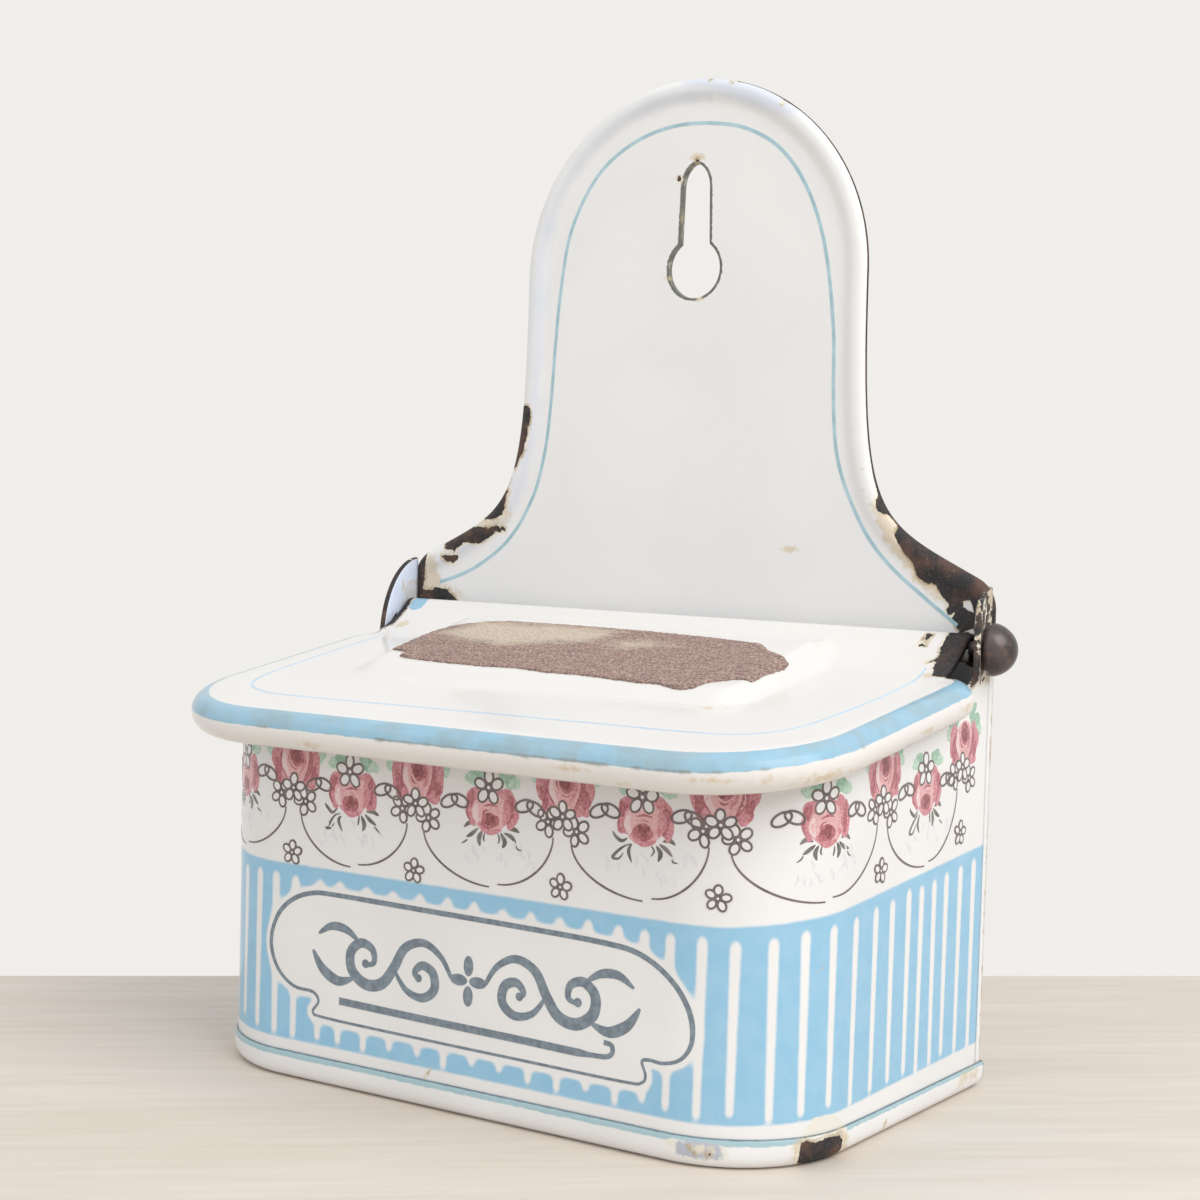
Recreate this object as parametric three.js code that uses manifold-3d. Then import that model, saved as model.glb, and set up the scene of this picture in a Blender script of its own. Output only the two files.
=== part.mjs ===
// Wall match holder of enamelled sheet steel: a box with a high back plate, a crimped bottom pan,
// and a hinged lid with a rolled rim that carries a rough striking pad.
// Millimetres. X runs across the holder, Y from the front to the wall, Z up.
// The pieces are made with the body's front face at Y = 0 and the table at Z = 0.

import * as THREE from 'three';
import { mergeVertices } from 'three/addons/utils/BufferGeometryUtils.js';
import Module from 'manifold-3d';

const wasm = await Module();
wasm.setup();

// Body: a D-shaped wall that widens towards the back
const totalHeight = 180;
const frontWidth = 116.5;
const rearWidth = 125.2;
const bodyDepth = 67.2;
const frontCornerRadius = 21;
const frontHeight = 64.4;
const mouthSlope = 7.86;
const bodySheet = 1.2;

// Ears: the rear upper corners of the wall, which carry the hinge rod
const earReach = 12.5;
const earRise = 16;
const earPastPlate = 0.8;

// Bottom pan: a flat floor with its rim crimped up round the body
const panSheet = 1;
const panRimHeight = 4.4;
const panRimProud = 1.15;
const panRimClearance = 0.25;
const panFootRadius = 1;
const panLipRadius = 0.4;

// Back plate: arch, neck and shoulders, with a raised border whose edge is turned back.
// The pulls are shares of the neck's height and set how it curves at its two ends.
const plateEdgeRadius = 1.6;
const borderCrest = 0.6;
const borderSlope = 2.6;
const borderRise = 0.9;
const archRadius = 36.4;
const shoulderHeight = 89.3;
const shoulderRadius = 6;
const shoulderSlope = 26.2;
const neckUpperPull = 0.84;
const neckLowerPull = 0.41;

// Keyhole: a round eye with a slot above it, punched a little to the right of the middle
const keyholeShift = 0.9;
const keyholeEyeRadius = 5.5;
const keyholeEyeBelowTop = 35.3;
const keyholeSlotWidth = 6.3;
const keyholeSlotBelowTop = 15.8;

// Lid: sheet, rolled rim, tongue and hinge barrel
const lidSheet = 1;
const rimRadius = 3.2;
const rimCurl = 185;
const lidOverhang = 7.7;
const rimOutsideFront = 2.6;
const rimOutsideRear = 1.7;
const lidRearSetback = 14.5;
const lidRearCornerRadius = 4;
const rampLength = 14.5;
const rampStart = new THREE.Vector2(5, 0.55);
const rampEnd = new THREE.Vector2(2.2, 1.87);
const barrelMeetsRamp = 130;

// Hinge: the lid turns on one rod, with a knob outside the right ear and a flat button outside the left
const rodRadius = 1.3;
const turningClearance = 0.2;
const hingeSetback = 3.2;
const hingeAboveLid = 2.85;
const washerRadius = 3.75;
const washerThickness = 1;
const knobRadius = 4.6;
const knobHeight = 4.3;
const buttonRadius = 3;
const buttonHeight = 1.5;
const capEdgeHeight = 0.3;
const blindBoreShare = 0.55;

// Striking area: a hollow raised panel pressed up from the lid, with the pad on it
const panelWidth = 78;
const panelLeftShift = 2;
const panelFrontSetback = 43;
const panelCreaseSetback = 10.6;
const panelRearSetback = 3.2;
const panelFrontHeight = 2;
const panelCreaseHeight = 4.4;
const panelRearHeight = 3.3;
const panelDraft = 2.5;
const panelCornerRadius = 5;
const padThickness = 0.4;
const padMargin = 0.8;

// Gap between pieces that rest on each other or pass close by
const seatGap = 0.3;

// Smoothness of the round stretches
const arcSteps = 6;
const curlSteps = 9;
const roundSides = 32;

// What follows from the sizes above
const tilt = THREE.MathUtils.degToRad(mouthSlope);
const sideLean = (rearWidth - frontWidth) / 2 / bodyDepth;
const plateEdge = bodyDepth + plateEdgeRadius;
const plateBack = bodyDepth + borderRise + bodySheet;
const axisY = bodyDepth - hingeSetback;
const axisZ = mouthHeight(axisY) + (hingeAboveLid + lidSheet + seatGap) / Math.cos(tilt);
const boreRadius = rodRadius + turningClearance;
const barrelRadius = boreRadius + lidSheet;
const earCentreY = bodyDepth + earPastPlate;
const earFrontY = earCentreY - earReach;
const tongueHalf = bodyHalf(earFrontY) - bodySheet * Math.hypot(1, sideLean) - seatGap;
const lidTop = -hingeAboveLid;
const lidUnderside = lidTop - lidSheet;
const lidRear = -(lidRearSetback - hingeSetback) / Math.cos(tilt);

function bodyHalf(y) {
  return frontWidth / 2 + sideLean * y;
}

function mouthHeight(y) {
  return frontHeight + Math.tan(tilt) * y;
}

// Outlines: lists of points, anticlockwise

function roundedOutline(corners, steps = arcSteps) {
  const path = new THREE.Path();
  corners.forEach(({ x, y, radius }, i) => {
    const corner = new THREE.Vector2(x, y);
    const previous = corners[(i + corners.length - 1) % corners.length];
    const next = corners[(i + 1) % corners.length];
    const arriving = corner.clone().sub(previous).normalize();
    const leaving = new THREE.Vector2(next.x, next.y).sub(corner).normalize();
    const turn = Math.acos(arriving.dot(leaving));
    const start = Math.atan2(-arriving.x, arriving.y);
    const inward = leaving.clone().sub(arriving).normalize();
    const centre = inward.multiplyScalar(radius / Math.cos(turn / 2)).add(corner);
    path.absarc(centre.x, centre.y, radius, start, start + turn, false);
  });
  return withoutRepeats(path.getPoints(steps));
}

function withoutRepeats(points) {
  return points.filter((point, i) => {
    const before = points[(i + points.length - 1) % points.length];
    return point.distanceTo(before) > 1e-4;
  });
}

// Moves every edge of an outline out by one distance, or in where it is negative
function offsetOutline(points, distance) {
  return points.map((point, i) => {
    const before = points[(i + points.length - 1) % points.length];
    const after = points[(i + 1) % points.length];
    const first = outwardNormal(before, point);
    const second = outwardNormal(point, after);
    const reach = distance / (1 + first.dot(second));
    return first.add(second).multiplyScalar(reach).add(point);
  });
}

function outwardNormal(from, to) {
  return new THREE.Vector2(to.y - from.y, from.x - to.x).normalize();
}

function arcPoints(centreX, centreY, radius, startDegrees, endDegrees, steps) {
  const start = THREE.MathUtils.degToRad(startDegrees);
  const end = THREE.MathUtils.degToRad(endDegrees);
  const curve = new THREE.EllipseCurve(centreX, centreY, radius, radius, start, end, end < start);
  return curve.getPoints(steps);
}

function rectangle(lowX, lowY, highX, highY) {
  return [
    new THREE.Vector2(lowX, lowY),
    new THREE.Vector2(highX, lowY),
    new THREE.Vector2(highX, highY),
    new THREE.Vector2(lowX, highY),
  ];
}

// Solids

// One level of a ringed solid: an outline laid at a height, or at a height for each point
function level(points, height) {
  const heightAt = typeof height === 'function' ? height : () => height;
  return points.map((point) => new THREE.Vector3(point.x, point.y, heightAt(point)));
}

// A closed skin through levels of one point count, up the outside, with a cap on each end
function ringedSolid(levels) {
  const count = levels[0].length;
  const positions = levels.flat().flatMap((point) => point.toArray());
  const index = [];
  for (let ring = 0; ring < levels.length - 1; ring += 1) {
    for (let i = 0; i < count; i += 1) {
      const low = ring * count + i;
      const lowNext = ring * count + (i + 1) % count;
      index.push(low, lowNext, lowNext + count, low, lowNext + count, low + count);
    }
  }
  const last = (levels.length - 1) * count;
  THREE.ShapeUtils.triangulateShape(levels[0], []).forEach(([a, b, c]) => index.push(c, b, a));
  THREE.ShapeUtils.triangulateShape(levels[levels.length - 1], []).forEach(([a, b, c]) => {
    index.push(last + a, last + b, last + c);
  });
  const geometry = new THREE.BufferGeometry();
  geometry.setAttribute('position', new THREE.Float32BufferAttribute(positions, 3));
  geometry.setIndex(index);
  return geometry;
}

function extrudedUp(points, low, high) {
  const options = { depth: high - low, bevelEnabled: false };
  return new THREE.ExtrudeGeometry(new THREE.Shape(points), options).translate(0, 0, low);
}

// An outline in Y and Z, extruded across X
function extrudedAcross(points, low, high) {
  const across = new THREE.Matrix4().makeBasis(
    new THREE.Vector3(0, 1, 0),
    new THREE.Vector3(0, 0, 1),
    new THREE.Vector3(1, 0, 0),
  );
  return extrudedUp(points, low, high).applyMatrix4(across);
}

// An outline in X and Z, extruded along Y
function extrudedBack(points, low, high) {
  return extrudedUp(points, -high, -low).rotateX(Math.PI / 2);
}

function rodAcross(radius, low, high, y = 0, z = 0) {
  return extrudedAcross(arcPoints(y, z, radius, 0, 360, roundSides).slice(0, -1), low, high);
}

function toSolid(geometry) {
  const bare = geometry.clone();
  bare.deleteAttribute('normal');
  bare.deleteAttribute('uv');
  const merged = mergeVertices(bare, 1e-4);
  return new wasm.Manifold(new wasm.Mesh({
    numProp: 3,
    vertProperties: new Float32Array(merged.attributes.position.array),
    triVerts: new Uint32Array(merged.index.array),
  }));
}

function toGeometry(solid) {
  const mesh = solid.getMesh();
  const geometry = new THREE.BufferGeometry();
  geometry.setAttribute('position', new THREE.BufferAttribute(mesh.vertProperties, 3));
  geometry.setIndex(new THREE.BufferAttribute(mesh.triVerts, 1));
  geometry.computeVertexNormals();
  return geometry;
}

function piece(name, geometry, material) {
  const mesh = new THREE.Mesh(geometry, material);
  mesh.name = name;
  return mesh;
}

// Materials

const enamel = new THREE.MeshStandardMaterial({ color: 0xefece3, roughness: 0.22, metalness: 0 });
const grit = new THREE.MeshStandardMaterial({ color: 0x8c7163, roughness: 0.95, metalness: 0 });
const steel = new THREE.MeshStandardMaterial({ color: 0x4a3f3b, roughness: 0.5, metalness: 0.6 });

// Box wall

// The body seen from above, down to a square rear end at the given Y
function bodyPlan(rearY, rearCornerRadius) {
  return roundedOutline([
    { x: frontWidth / 2, y: 0, radius: frontCornerRadius },
    { x: bodyHalf(rearY), y: rearY, radius: rearCornerRadius },
    { x: -bodyHalf(rearY), y: rearY, radius: rearCornerRadius },
    { x: -frontWidth / 2, y: 0, radius: frontCornerRadius },
  ]);
}

// The wall seen from the side: the sloping mouth line and the ear
function wallSideView() {
  const ear = new THREE.EllipseCurve(
    earCentreY, mouthHeight(earFrontY), earReach, earRise,
    Math.PI, Math.PI / 2, true,
  );
  const earEdge = ear.getPoints(4 * arcSteps).filter((point) => point.y > mouthHeight(earFrontY));
  const earInFront = earEdge.filter((point) => point.x < bodyDepth);
  const earTop = mouthHeight(earFrontY)
    + earRise * Math.sqrt(1 - (earPastPlate / earReach) ** 2);
  const pastFront = -bodySheet;
  return [
    new THREE.Vector2(pastFront, panSheet),
    new THREE.Vector2(bodyDepth, panSheet),
    new THREE.Vector2(bodyDepth, earTop),
    ...earInFront.reverse(),
    new THREE.Vector2(earFrontY, mouthHeight(earFrontY)),
    new THREE.Vector2(pastFront, mouthHeight(pastFront)),
  ];
}

function boxWall() {
  const plan = bodyPlan(plateBack + 4 * bodySheet, 2 * bodySheet);
  const outside = toSolid(extrudedUp(plan, 0, totalHeight));
  const inside = toSolid(extrudedUp(offsetOutline(plan, -bodySheet), -1, totalHeight + 1));
  const sideView = toSolid(extrudedAcross(wallSideView(), -rearWidth, rearWidth));
  const rodHole = toSolid(rodAcross(boreRadius, -rearWidth, rearWidth, axisY, axisZ));
  return toGeometry(outside.subtract(inside).intersect(sideView).subtract(rodHole));
}

// Bottom pan

function bottomPan() {
  const plan = bodyPlan(plateBack, panRimClearance);
  const foot = arcPoints(panRimProud - panFootRadius, panFootRadius, panFootRadius, -90, 0, 3);
  const lip = arcPoints(
    panRimProud - panLipRadius, panRimHeight - panLipRadius, panLipRadius, 0, 90, 3,
  );
  const section = [
    ...foot,
    ...lip,
    new THREE.Vector2(panRimClearance, panRimHeight),
    new THREE.Vector2(panRimClearance, panSheet),
  ];
  return ringedSolid(section.map(({ x, y }) => level(offsetOutline(plan, x), y)));
}

// Back plate

// The plate seen from the front. Its foot runs below the floor, where it is cut square.
function plateOutline() {
  const half = bodyHalf(plateEdge);
  const slope = THREE.MathUtils.degToRad(shoulderSlope);
  const archZ = totalHeight - archRadius;
  const neckHeight = archZ - shoulderHeight;
  const shoulderX = half - shoulderRadius;
  const shoulderZ = shoulderHeight - shoulderRadius * Math.cos(slope);
  const meetX = shoulderX + shoulderRadius * Math.sin(slope);
  const lowerX = meetX - neckHeight * neckLowerPull * Math.cos(slope);
  const lowerZ = shoulderHeight + neckHeight * neckLowerPull * Math.sin(slope);
  const upperZ = archZ - neckHeight * neckUpperPull;
  const shoulderTurn = Math.PI / 2 - slope;
  const path = new THREE.Path();
  path.moveTo(-half, -plateEdgeRadius * 2);
  path.lineTo(half, -plateEdgeRadius * 2);
  path.absarc(shoulderX, shoulderZ, shoulderRadius, 0, shoulderTurn, false);
  path.bezierCurveTo(lowerX, lowerZ, archRadius, upperZ, archRadius, archZ);
  path.absarc(0, archZ, archRadius, 0, Math.PI, false);
  path.bezierCurveTo(-archRadius, upperZ, -lowerX, lowerZ, -meetX, shoulderHeight);
  path.absarc(-shoulderX, shoulderZ, shoulderRadius, Math.PI - shoulderTurn, Math.PI, false);
  return withoutRepeats(path.getPoints(2 * arcSteps));
}

function backPlate() {
  const outline = plateOutline();
  const innerRadius = plateEdgeRadius - bodySheet;
  const slopeStart = -plateEdgeRadius - borderCrest;
  const slopeSteps = [0, 0.25, 0.5, 0.75, 1];
  const slopeDown = slopeSteps.map((share) => new THREE.Vector2(
    slopeStart - borderSlope * share,
    -bodyDepth - borderRise * THREE.MathUtils.smoothstep(share, 0, 1),
  ));
  const slopeBehind = slopeDown.map(({ x, y }) => new THREE.Vector2(x, y - bodySheet)).reverse();
  const section = [
    ...slopeBehind,
    ...arcPoints(-plateEdgeRadius, -plateEdge, innerRadius, 90, 0, 3),
    ...arcPoints(-plateEdgeRadius, -plateEdge, plateEdgeRadius, 0, 90, 4),
    ...slopeDown,
  ];
  const whole = ringedSolid(section.map(({ x, y }) => level(offsetOutline(outline, x), y)));
  const below = rectangle(-rearWidth, -totalHeight, rearWidth, panSheet);
  const eyeZ = totalHeight - keyholeEyeBelowTop;
  const slotEnd = totalHeight - keyholeSlotBelowTop - keyholeSlotWidth / 2;
  const eye = arcPoints(keyholeShift, eyeZ, keyholeEyeRadius, 0, 360, roundSides).slice(0, -1);
  const slot = [
    new THREE.Vector2(keyholeShift - keyholeSlotWidth / 2, eyeZ),
    new THREE.Vector2(keyholeShift + keyholeSlotWidth / 2, eyeZ),
    ...arcPoints(keyholeShift, slotEnd, keyholeSlotWidth / 2, 0, 180, 2 * arcSteps),
  ];
  const through = (points) => toSolid(extrudedBack(points, 0, 2 * plateBack));
  return toGeometry(
    toSolid(whole.rotateX(Math.PI / 2))
      .subtract(through(below))
      .subtract(through(eye))
      .subtract(through(slot)),
  );
}

// Lid: made about its hinge axis, with Y along the lid and Z square to it

const lidFront = -axisY / Math.cos(tilt) - lidOverhang;

function lidPlan() {
  const front = bodyHalf(-lidOverhang) + rimOutsideFront;
  const rear = bodyHalf(axisY + lidRear) + rimOutsideRear;
  return roundedOutline([
    { x: front, y: lidFront, radius: frontCornerRadius },
    { x: rear, y: lidRear, radius: lidRearCornerRadius },
    { x: -rear, y: lidRear, radius: lidRearCornerRadius },
    { x: -front, y: lidFront, radius: frontCornerRadius },
  ]);
}

function rimmedSheet() {
  const centre = lidTop - rimRadius;
  const end = 90 - rimCurl;
  const section = [
    ...arcPoints(0, centre, rimRadius - lidSheet, 90, end, curlSteps),
    ...arcPoints(0, centre, rimRadius, end, 90, curlSteps),
  ];
  return ringedSolid(section.map(({ x, y }) => level(offsetOutline(lidPlan(), x), y)));
}

// The ramp from the lid up to the barrel, seen from the side
function tongueSideView() {
  const angle = THREE.MathUtils.degToRad(barrelMeetsRamp);
  const foot = new THREE.Vector2(-rampLength, lidTop);
  const head = new THREE.Vector2(Math.cos(angle), Math.sin(angle)).multiplyScalar(barrelRadius);
  const ramp = new THREE.CubicBezierCurve(
    foot, foot.clone().add(rampStart), head.clone().sub(rampEnd), head,
  );
  const top = ramp.getPoints(2 * arcSteps);
  const overlap = new THREE.Vector2(-rampLength - rimRadius, lidTop);
  const upper = [overlap, ...top];
  const lower = upper.map((point, i) => {
    const from = upper[Math.max(i - 1, 0)];
    const to = upper[Math.min(i + 1, upper.length - 1)];
    return outwardNormal(from, to).multiplyScalar(lidSheet).add(point);
  });
  return [...lower, ...upper.reverse()];
}

// The raised panel from the side, or its hollow where it is dropped by the sheet
function panelSideView(drop) {
  const inFront = -panelFrontSetback - panelDraft * 2;
  return [
    new THREE.Vector2(inFront, lidUnderside - lidSheet),
    new THREE.Vector2(-panelRearSetback - drop, lidUnderside - lidSheet),
    new THREE.Vector2(-panelRearSetback - drop, lidTop + panelRearHeight - drop),
    new THREE.Vector2(-panelCreaseSetback, lidTop + panelCreaseHeight - drop),
    new THREE.Vector2(inFront, panelTop(inFront) - drop),
  ];
}

// Height of the raised panel's top at a place along the lid
function panelTop(y) {
  const rise = (panelCreaseHeight - panelFrontHeight) / (panelFrontSetback - panelCreaseSetback);
  return lidTop + panelFrontHeight + rise * (y + panelFrontSetback);
}

// The panel's top outline; its sides spread out below it by the draft
function panelPlan() {
  const low = -panelLeftShift - panelWidth / 2;
  const high = -panelLeftShift + panelWidth / 2;
  return roundedOutline([
    { x: high, y: -panelFrontSetback, radius: panelCornerRadius },
    { x: high, y: 0, radius: panelCornerRadius },
    { x: low, y: 0, radius: panelCornerRadius },
    { x: low, y: -panelFrontSetback, radius: panelCornerRadius },
  ]);
}

function panelBlock(inset) {
  const plan = panelPlan();
  const topHeight = lidTop + panelCreaseHeight;
  const sides = ringedSolid([
    level(offsetOutline(plan, panelDraft * 1.5 - inset), lidUnderside - lidSheet),
    level(offsetOutline(plan, -inset), topHeight),
  ]);
  const sideView = extrudedAcross(panelSideView(inset), -rearWidth, rearWidth);
  return toSolid(sides).intersect(toSolid(sideView));
}

// Room for the tongue between the ears, and for the wall's top edge and the ears beside it
function lidCutouts() {
  const behind = lidRear + 2 * rimRadius;
  const beside = rearWidth / 2 + seatGap;
  const below = lidTop - 2 * rimRadius - lidSheet;
  const above = lidTop + rimRadius;
  const tongueFrom = Math.min(lidRear - lidSheet, -rampLength);
  const earFrom = (earFrontY - axisY) / Math.cos(tilt) - seatGap;
  const room = (half, from, low, high) => (
    toSolid(extrudedUp(rectangle(-half, from, half, behind), low, high))
  );
  return room(tongueHalf, tongueFrom, below, above)
    .add(room(beside, lidRear - rimRadius, below, lidUnderside))
    .add(room(beside, earFrom, below, above));
}

function lidGeometry() {
  const tongue = extrudedAcross(tongueSideView(), -tongueHalf, tongueHalf);
  const barrel = rodAcross(barrelRadius, -tongueHalf, tongueHalf);
  const bore = rodAcross(boreRadius, -rearWidth, rearWidth);
  return toGeometry(
    toSolid(rimmedSheet())
      .subtract(lidCutouts())
      .add(toSolid(tongue))
      .add(panelBlock(0))
      .subtract(panelBlock(lidSheet))
      .add(toSolid(barrel))
      .subtract(toSolid(bore)),
  );
}

// Striking pad: a thin layer of grit with a ragged edge, as far across and along the panel as these
// shares of its half width and of its depth from the front

const padEdge = [
  [0, 0.1], [0.28, 0.08], [0.5, 0.05], [0.6, 0], [0.68, 0.02], [0.74, 0.2], [0.86, 0.26],
  [0.94, 0.27], [0.98, 0.42], [1, 0.61], [0.82, 0.72], [0.73, 0.84], [0.42, 0.9], [-0.12, 0.97],
  [-0.4, 1], [-0.67, 0.88], [-0.95, 0.7], [-0.94, 0.43], [-1, 0.2], [-0.85, 0.14], [-0.75, 0.07],
  [-0.5, 0.08],
];

function strikerPad() {
  const half = panelWidth / 2 - padMargin;
  const front = -panelFrontSetback + padMargin;
  const depth = panelFrontSetback - panelCreaseSetback - padMargin;
  const outline = padEdge.map(([across, along]) => (
    new THREE.Vector2(half * across - panelLeftShift, front + depth * along)
  ));
  const underside = ({ y }) => panelTop(y) + seatGap;
  const top = ({ y }) => panelTop(y) + seatGap + padThickness;
  return ringedSolid([level(outline, underside), level(outline, top)]);
}

// Hinge rod, its washers, and the knob and button on its ends

const washerInner = bodyHalf(axisY + washerRadius) + seatGap;
const washerOuter = washerInner + washerThickness;
const capBase = washerOuter + seatGap;

function blindBoreDepth(height) {
  return height * blindBoreShare;
}

function hingeRod() {
  const left = capBase + blindBoreDepth(buttonHeight) - seatGap;
  const right = capBase + blindBoreDepth(knobHeight) - seatGap;
  return rodAcross(rodRadius, -left, right, axisY, axisZ);
}

function hingeWasher(side) {
  const profile = [
    new THREE.Vector2(boreRadius, 0),
    new THREE.Vector2(washerRadius, 0),
    new THREE.Vector2(washerRadius, washerThickness),
    new THREE.Vector2(boreRadius, washerThickness),
    new THREE.Vector2(boreRadius, 0),
  ];
  return new THREE.LatheGeometry(profile, roundSides)
    .rotateZ(-side * Math.PI / 2)
    .translate(side * washerInner, axisY, axisZ);
}

// A dome with a short straight edge, bored from behind for the end of the rod
function rodEnd(side, radius, height) {
  const dome = new THREE.EllipseCurve(
    0, capEdgeHeight, radius, height - capEdgeHeight, 0, Math.PI / 2, false,
  ).getPoints(2 * arcSteps);
  dome[dome.length - 1].x = 0;
  const profile = [
    new THREE.Vector2(0, blindBoreDepth(height)),
    new THREE.Vector2(boreRadius, blindBoreDepth(height)),
    new THREE.Vector2(boreRadius, 0),
    new THREE.Vector2(radius, 0),
    ...dome,
  ];
  return new THREE.LatheGeometry(profile, roundSides)
    .rotateZ(-side * Math.PI / 2)
    .translate(side * capBase, axisY, axisZ);
}

// Assembly

const holder = new THREE.Group();
holder.add(piece('box_wall', boxWall(), enamel));
holder.add(piece('bottom_pan', bottomPan(), enamel));
holder.add(piece('back_plate', backPlate(), enamel));
holder.add(piece('hinge_rod', hingeRod(), steel));
holder.add(piece('button_washer', hingeWasher(-1), steel));
holder.add(piece('knob_washer', hingeWasher(1), steel));
holder.add(piece('rod_button', rodEnd(-1, buttonRadius, buttonHeight), steel));
holder.add(piece('rod_knob', rodEnd(1, knobRadius, knobHeight), steel));

const lidGroup = new THREE.Group();
lidGroup.position.set(0, axisY, axisZ);
lidGroup.rotation.x = tilt;
lidGroup.add(piece('lid', lidGeometry(), enamel));
lidGroup.add(piece('striker_pad', strikerPad(), grit));
holder.add(lidGroup);

// The origin is at table height, in the middle of the holder's overall width and depth
const middle = new THREE.Box3().setFromObject(holder, true).getCenter(new THREE.Vector3());
holder.position.set(-middle.x, -middle.y, 0);

export default holder;
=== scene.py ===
import random
from math import acos, asin, atan, atan2, ceil, cos, degrees, hypot, pi, radians, sin, sqrt, tan

import bpy
import numpy as np
from mathutils import Matrix, Vector, geometry


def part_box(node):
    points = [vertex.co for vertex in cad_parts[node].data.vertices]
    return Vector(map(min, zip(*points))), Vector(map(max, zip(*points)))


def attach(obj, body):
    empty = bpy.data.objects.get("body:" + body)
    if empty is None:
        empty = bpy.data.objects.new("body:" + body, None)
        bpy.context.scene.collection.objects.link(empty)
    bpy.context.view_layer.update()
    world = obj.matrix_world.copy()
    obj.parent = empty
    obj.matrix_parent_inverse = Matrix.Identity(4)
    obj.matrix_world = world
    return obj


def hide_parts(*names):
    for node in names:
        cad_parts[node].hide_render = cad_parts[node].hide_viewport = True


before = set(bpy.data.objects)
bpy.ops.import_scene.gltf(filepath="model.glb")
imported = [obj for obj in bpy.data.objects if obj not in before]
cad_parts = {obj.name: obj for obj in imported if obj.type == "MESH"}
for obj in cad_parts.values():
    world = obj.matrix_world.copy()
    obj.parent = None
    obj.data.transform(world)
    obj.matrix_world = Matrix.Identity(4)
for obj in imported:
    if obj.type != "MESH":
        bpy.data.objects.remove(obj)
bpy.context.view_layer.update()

# The view: the holder stands on a table and is seen from its right front corner, a little above
# the middle of its height, by a camera tipped slightly down and to one side.

MM = 0.001
plate_low, plate_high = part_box("back_plate")
wall_low, wall_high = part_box("box_wall")
middle_x = (plate_low.x + plate_high.x) / 2
front_y = wall_low.y


def at(x, y, z):
    """A place in millimetres from the middle of the body's front, at table height."""
    return Vector((middle_x + x * MM, front_y + y * MM, z * MM))


view_turn = radians(31.938)
view_down = radians(3.215)
view_roll = radians(1.527)
view_from = at(195.127, -273.675, 104.141)
forward = Vector((
    -sin(view_turn) * cos(view_down),
    cos(view_turn) * cos(view_down),
    -sin(view_down),
))
level_right = Vector((cos(view_turn), sin(view_turn), 0))
level_up = level_right.cross(forward)
right = cos(view_roll) * level_right + sin(view_roll) * level_up
up = cos(view_roll) * level_up - sin(view_roll) * level_right
camera_data = bpy.data.cameras.new("camera")
camera_data.sensor_width = 36
camera_data.lens = 62.436
camera = bpy.data.objects.new("camera", camera_data)
camera.matrix_world = Matrix.Translation(view_from) @ Matrix(
    (right, up, -forward)
).transposed().to_4x4()
bpy.context.scene.collection.objects.link(camera)
bpy.context.scene.camera = camera
bpy.context.scene.view_settings.view_transform = "Standard"

# The table and the light: a plain pale wooden table top that ends behind the holder, a bright
# pale room, and soft daylight from a large window on the right.


def fill(node, inputs):
    """Fills a node's inputs with values or with the outputs of other nodes."""
    for key, value in inputs.items():
        if isinstance(value, bpy.types.NodeSocket):
            node.id_data.links.new(value, node.inputs[key])
        else:
            node.inputs[key].default_value = value


def add_node(tree, kind, inputs=None, **settings):
    node = tree.nodes.new("ShaderNode" + kind)
    for field, value in settings.items():
        setattr(node, field, value)
    fill(node, inputs or {})
    return node


def figure(tree, operation, first, second=0.0, third=0.0):
    inputs = {0: first, 1: second, 2: third}
    return add_node(tree, "Math", inputs, operation=operation).outputs[0]


class Look:
    """A material, with short calls for the nodes that work out its colour and its finish."""

    def __init__(self, name):
        self.material = bpy.data.materials.new(name)
        self.material.use_nodes = True
        self.tree = self.material.node_tree
        self.shader = self.tree.nodes["Principled BSDF"]
        self.place = self.add("TexCoord").outputs["Object"]
        self.colour = None

    def add(self, kind, inputs=None, **settings):
        return add_node(self.tree, kind, inputs, **settings)

    def zone(self, name):
        """What the mesh holds under this name, point by point."""
        return self.add("Attribute", attribute_name=name).outputs["Fac"]

    def stretched(self, where, scale):
        return self.add("Mapping", {"Vector": where, "Scale": scale}).outputs[0]

    def times(self, value, factor, plus=None):
        """A product, with something added to it where that is given."""
        if plus is None:
            return figure(self.tree, "MULTIPLY", value, factor)
        return figure(self.tree, "MULTIPLY_ADD", value, factor, plus)

    def ramp(self, value, low, high):
        """0 below low and 1 above high, with a smooth change between them."""
        inputs = {"Value": value, "From Min": low, "From Max": high}
        return self.add("MapRange", inputs, interpolation_type="SMOOTHSTEP").outputs[0]

    def grain(self, scale, detail=3.0, rough=0.55, where=None):
        where = self.place if where is None else where
        inputs = {"Vector": where, "Scale": scale, "Detail": detail, "Roughness": rough}
        return self.add("TexNoise", inputs).outputs[0]

    def patches(self, low, high, *texture, **where):
        """Where the grain is above low, and fully so above high."""
        return self.ramp(self.grain(*texture, **where), low, high)

    def lay_over(self, share, under, over):
        return self.add("Mix", {0: share, 6: under, 7: over}, data_type="RGBA").outputs[2]

    def coat(self, share, tint):
        """Lays one more colour over the material, as far as the share goes."""
        self.colour = self.lay_over(share, self.colour, tint)

    def finish(self, rough, relief=None, depth=0.0, strength=0.0):
        """Connects the colour, the roughness and a fine relief, and gives the material."""
        fill(self.shader, {"Base Color": self.colour, "Roughness": rough})
        if relief is not None:
            bump = self.add("Bump", {"Height": relief, "Distance": depth, "Strength": strength})
            fill(self.shader, {"Normal": bump.outputs[0]})
        return self.material


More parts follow.
